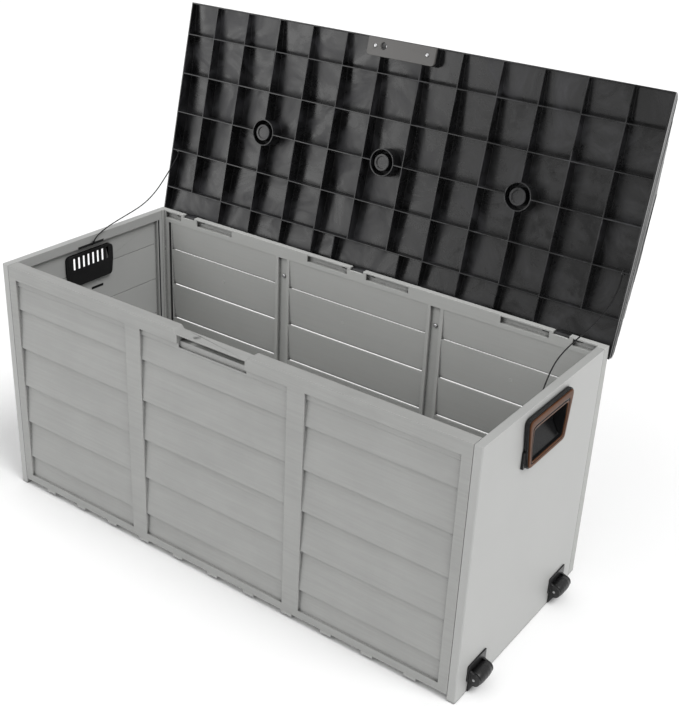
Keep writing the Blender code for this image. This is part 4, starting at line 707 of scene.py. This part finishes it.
# ---- Stile screws. One steel pan-head screw high in each middle channel of the back panel, tying it to the
# ---- stiffener behind.
STILE_X = 0.1915
STILE_SCREW_Y = 0.2240
STILE_SCREW_Z = 0.442
STILE_SCREW_RADIUS = 0.0040
STILE_SCREW_DEPTH = 0.004
for side, word in ((-1, "left"), (1, "right")):
    screw = cross_screw("stile_screw_" + word,
                        facing((side * STILE_X, STILE_SCREW_Y, STILE_SCREW_Z), (0, -1, 0)),
                        STILE_SCREW_RADIUS, SCREW_DOME, STILE_SCREW_DEPTH)
    lit_inside.objects.link(screw)

# ---- Handles. Each is a glossy black cup with slots, clipped into its end panel, and a bronze-coloured
# ---- bezel snapped over its flange. A small black clip below it locks it from inside.
HANDLE_BLACK = (0.008, 0.008, 0.0085)
BRONZE = (0.092, 0.036, 0.015)
BEZEL_CENTRE_Y = -0.0105
BEZEL_TOP = 0.4960
BEZEL_BOTTOM = 0.4025
BEZEL_TOP_HALF = 0.0805
BEZEL_BOTTOM_HALF = 0.0660
BEZEL_CORNER = 0.0080
CUP_TOP = 0.4765
CUP_BOTTOM = 0.4115
CUP_HALF = 0.0620
CUP_FOOT_HALF = 0.0570
CUP_CORNER = 0.0060
BEZEL_SIDES = 144
CUP_ROUND = 0.0007
CLIP_ROUND = 0.0004
# Across the bezel from its outer edge to the cup: share of the way and share of its thickness.
BEZEL_SECTION = [(0.00, 0.00), (0.00, 0.62), (0.05, 0.92), (0.13, 1.00), (0.52, 0.94), (0.60, 0.86),
                 (0.64, 0.42), (0.74, 0.42), (0.78, 0.86), (0.92, 0.78), (1.00, 0.50), (1.00, 0.00)]
BLACK_LINE = (0.60, 0.78)
handle_plastic = moulded_plastic("handle_plastic", HANDLE_BLACK, 0.26, shine=0.3)
bronze_plastic = moulded_plastic("bronze_plastic", BRONZE, 0.38, mottling=0.18, shine=0.12)


def rounded_reach(corners, radius, angle):
    """How far a rounded polygon (counter-clockwise, round the origin) reaches in a direction."""
    ray = Vector((math.cos(angle), math.sin(angle)))
    reach = min((edge_end - edge_start).cross(-edge_start) / (edge_end - edge_start).cross(ray) * -1
                for edge_start, edge_end in zip(corners, corners[1:] + corners[:1])
                if (edge_end - edge_start).cross(ray) < 0)
    for index, corner in enumerate(corners):
        back = (corners[index - 1] - corner).normalized()
        ahead = (corners[(index + 1) % len(corners)] - corner).normalized()
        half = back.angle(ahead) / 2
        centre = corner + (back + ahead).normalized() * (radius / math.sin(half))
        run = radius / math.tan(half)
        first, last = corner + back * run, corner + ahead * run
        if first.cross(ray) * last.cross(ray) <= 0 and ray.dot(corner) > 0:
            along = ray.dot(centre)
            off = centre.length_squared - along * along
            reach = min(reach, along + math.sqrt(max(0.0, radius * radius - off)))
    return reach


def bezel(word, side):
    """The bronze frame, lofted from its outer outline to the cup's, with a black line in its face."""
    low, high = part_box("handle_trim_" + word)
    foot, top = (low[0], high[0]) if side > 0 else (high[0], low[0])
    centre = Vector((BEZEL_CENTRE_Y, (CUP_TOP + CUP_BOTTOM) / 2))
    outer = [Vector(c) - centre for c in (
        (BEZEL_CENTRE_Y + BEZEL_BOTTOM_HALF, BEZEL_BOTTOM), (BEZEL_CENTRE_Y + BEZEL_TOP_HALF, BEZEL_TOP),
        (BEZEL_CENTRE_Y - BEZEL_TOP_HALF, BEZEL_TOP), (BEZEL_CENTRE_Y - BEZEL_BOTTOM_HALF, BEZEL_BOTTOM))]
    middle = centre.y
    inner = [Vector(c) - centre for c in (
        (BEZEL_CENTRE_Y + CUP_FOOT_HALF, CUP_BOTTOM), (BEZEL_CENTRE_Y + CUP_HALF, middle),
        (BEZEL_CENTRE_Y + CUP_HALF, CUP_TOP), (BEZEL_CENTRE_Y - CUP_HALF, CUP_TOP),
        (BEZEL_CENTRE_Y - CUP_HALF, middle), (BEZEL_CENTRE_Y - CUP_FOOT_HALF, CUP_BOTTOM))]
    shape = bmesh.new()
    rings = []
    for across, rise in BEZEL_SECTION:
        ring = []
        for step in range(BEZEL_SIDES):
            angle = math.tau * (step + 0.5) / BEZEL_SIDES
            far = rounded_reach(outer, BEZEL_CORNER, angle)
            near = rounded_reach(inner, CUP_CORNER, angle)
            reach = far + (near - far) * across
            ring.append(shape.verts.new((foot + (top - foot) * rise, centre.x + reach * math.cos(angle),
                                         centre.y + reach * math.sin(angle))))
        rings.append(ring)
    for number, (start, end) in enumerate(zip(rings, rings[1:] + rings[:1])):
        share = BEZEL_SECTION[number][0]
        for k in range(BEZEL_SIDES):
            after = (k + 1) % BEZEL_SIDES
            face = shape.faces.new((start[k], start[after], end[after], end[k]))
            face.material_index = 1 if BLACK_LINE[0] <= share < BLACK_LINE[1] else 0
    bmesh.ops.recalc_face_normals(shape, faces=shape.faces)
    return mesh_piece("bezel_" + word, shape, [bronze_plastic, handle_plastic], 24)


for side, word in ((-1, "left"), (1, "right")):
    softened("handle_" + word, handle_plastic, width=CUP_ROUND)
    stands_for(bezel(word, side), "handle_trim_" + word)
    softened("handle_clip_" + word, handle_plastic, width=CLIP_ROUND)

# ---- Rollers. Hard black plastic barrels with mould lines, each on a steel axle between two cheeks of a
# ---- black bracket that is fixed low on the right end panel.
ROLLER_BLACK = (0.010, 0.010, 0.0105)
ROLLER_AXIS_X = 0.5605
ROLLER_AXIS_Z = 0.030
ROLLER_YS = {"front": -0.1645, "rear": 0.1435}
ROLLER_RADIUS = 0.0145
ROLLER_HALF = 0.020
ROLLER_BORE = 0.0028
ROLLER_STEPS = 64
ROLLER_LINES = (-0.0095, 0.0, 0.0095)
ROLLER_CROWN = 0.0010
BRACKET_ROUND = 0.0006
roller_plastic = moulded_plastic("roller_plastic", ROLLER_BLACK, 0.30)
bracket_plastic = moulded_plastic("bracket_plastic", HANDLE_BLACK, 0.33)


def roller_profile():
    """(radius, height along the axle): recessed sides, rounded shoulders and three lines round the tread."""
    edge = ROLLER_RADIUS - ROLLER_CROWN
    line, flank = 0.0005, 0.0009
    profile = [(ROLLER_BORE, -ROLLER_HALF + 0.0012), (0.0060, -ROLLER_HALF + 0.0012),
               (0.0064, -ROLLER_HALF + 0.0022), (0.0100, -ROLLER_HALF + 0.0022),
               (0.0104, -ROLLER_HALF), (edge - 0.0020, -ROLLER_HALF),
               (edge - 0.0006, -ROLLER_HALF + 0.0008), (edge, -ROLLER_HALF + 0.0024)]
    side = list(profile)
    for middle in ROLLER_LINES:
        crown = ROLLER_RADIUS - ROLLER_CROWN * (middle / ROLLER_HALF) ** 2
        profile += [(crown, middle - flank), (crown - line, middle - flank * 0.4),
                    (crown - line, middle + flank * 0.4), (crown, middle + flank)]
    return profile + [(radius, -height) for radius, height in reversed(side)]


for word, axle_y in ROLLER_YS.items():
    barrel = bmesh.new()
    outline = roller_profile()
    lathe_rings(barrel, outline + outline[:1], facing((ROLLER_AXIS_X, axle_y, ROLLER_AXIS_Z), (0, 1, 0)),
                ROLLER_STEPS)
    bmesh.ops.remove_doubles(barrel, verts=barrel.verts, dist=WELD)
    bmesh.ops.recalc_face_normals(barrel, faces=barrel.faces)
    stands_for(mesh_piece("roller_" + word, barrel, [roller_plastic], 30), "wheel_" + word)
    softened("wheel_bracket_" + word, bracket_plastic, width=BRACKET_ROUND)
    axle = frame["nodes"]["wheel_axle_" + word]
    axle.data.materials.clear()
    axle.data.materials.append(steel)

# ---- Cord toggles and plugs. A black bar in a slot of each end panel's rim holds the cord's knot, and a
# ---- rivet-like black plug in a rib of the lid holds its other end.
TOGGLE_ROUND = 0.0004
toggle_plastic = moulded_plastic("toggle_plastic", HANDLE_BLACK, 0.38)
for word in ("left", "right"):
    softened("cord_toggle_" + word, toggle_plastic, width=TOGGLE_ROUND)
    plug = frame["nodes"]["cord_plug_" + word]
    plug.data.materials.clear()
    plug.data.materials.append(toggle_plastic)
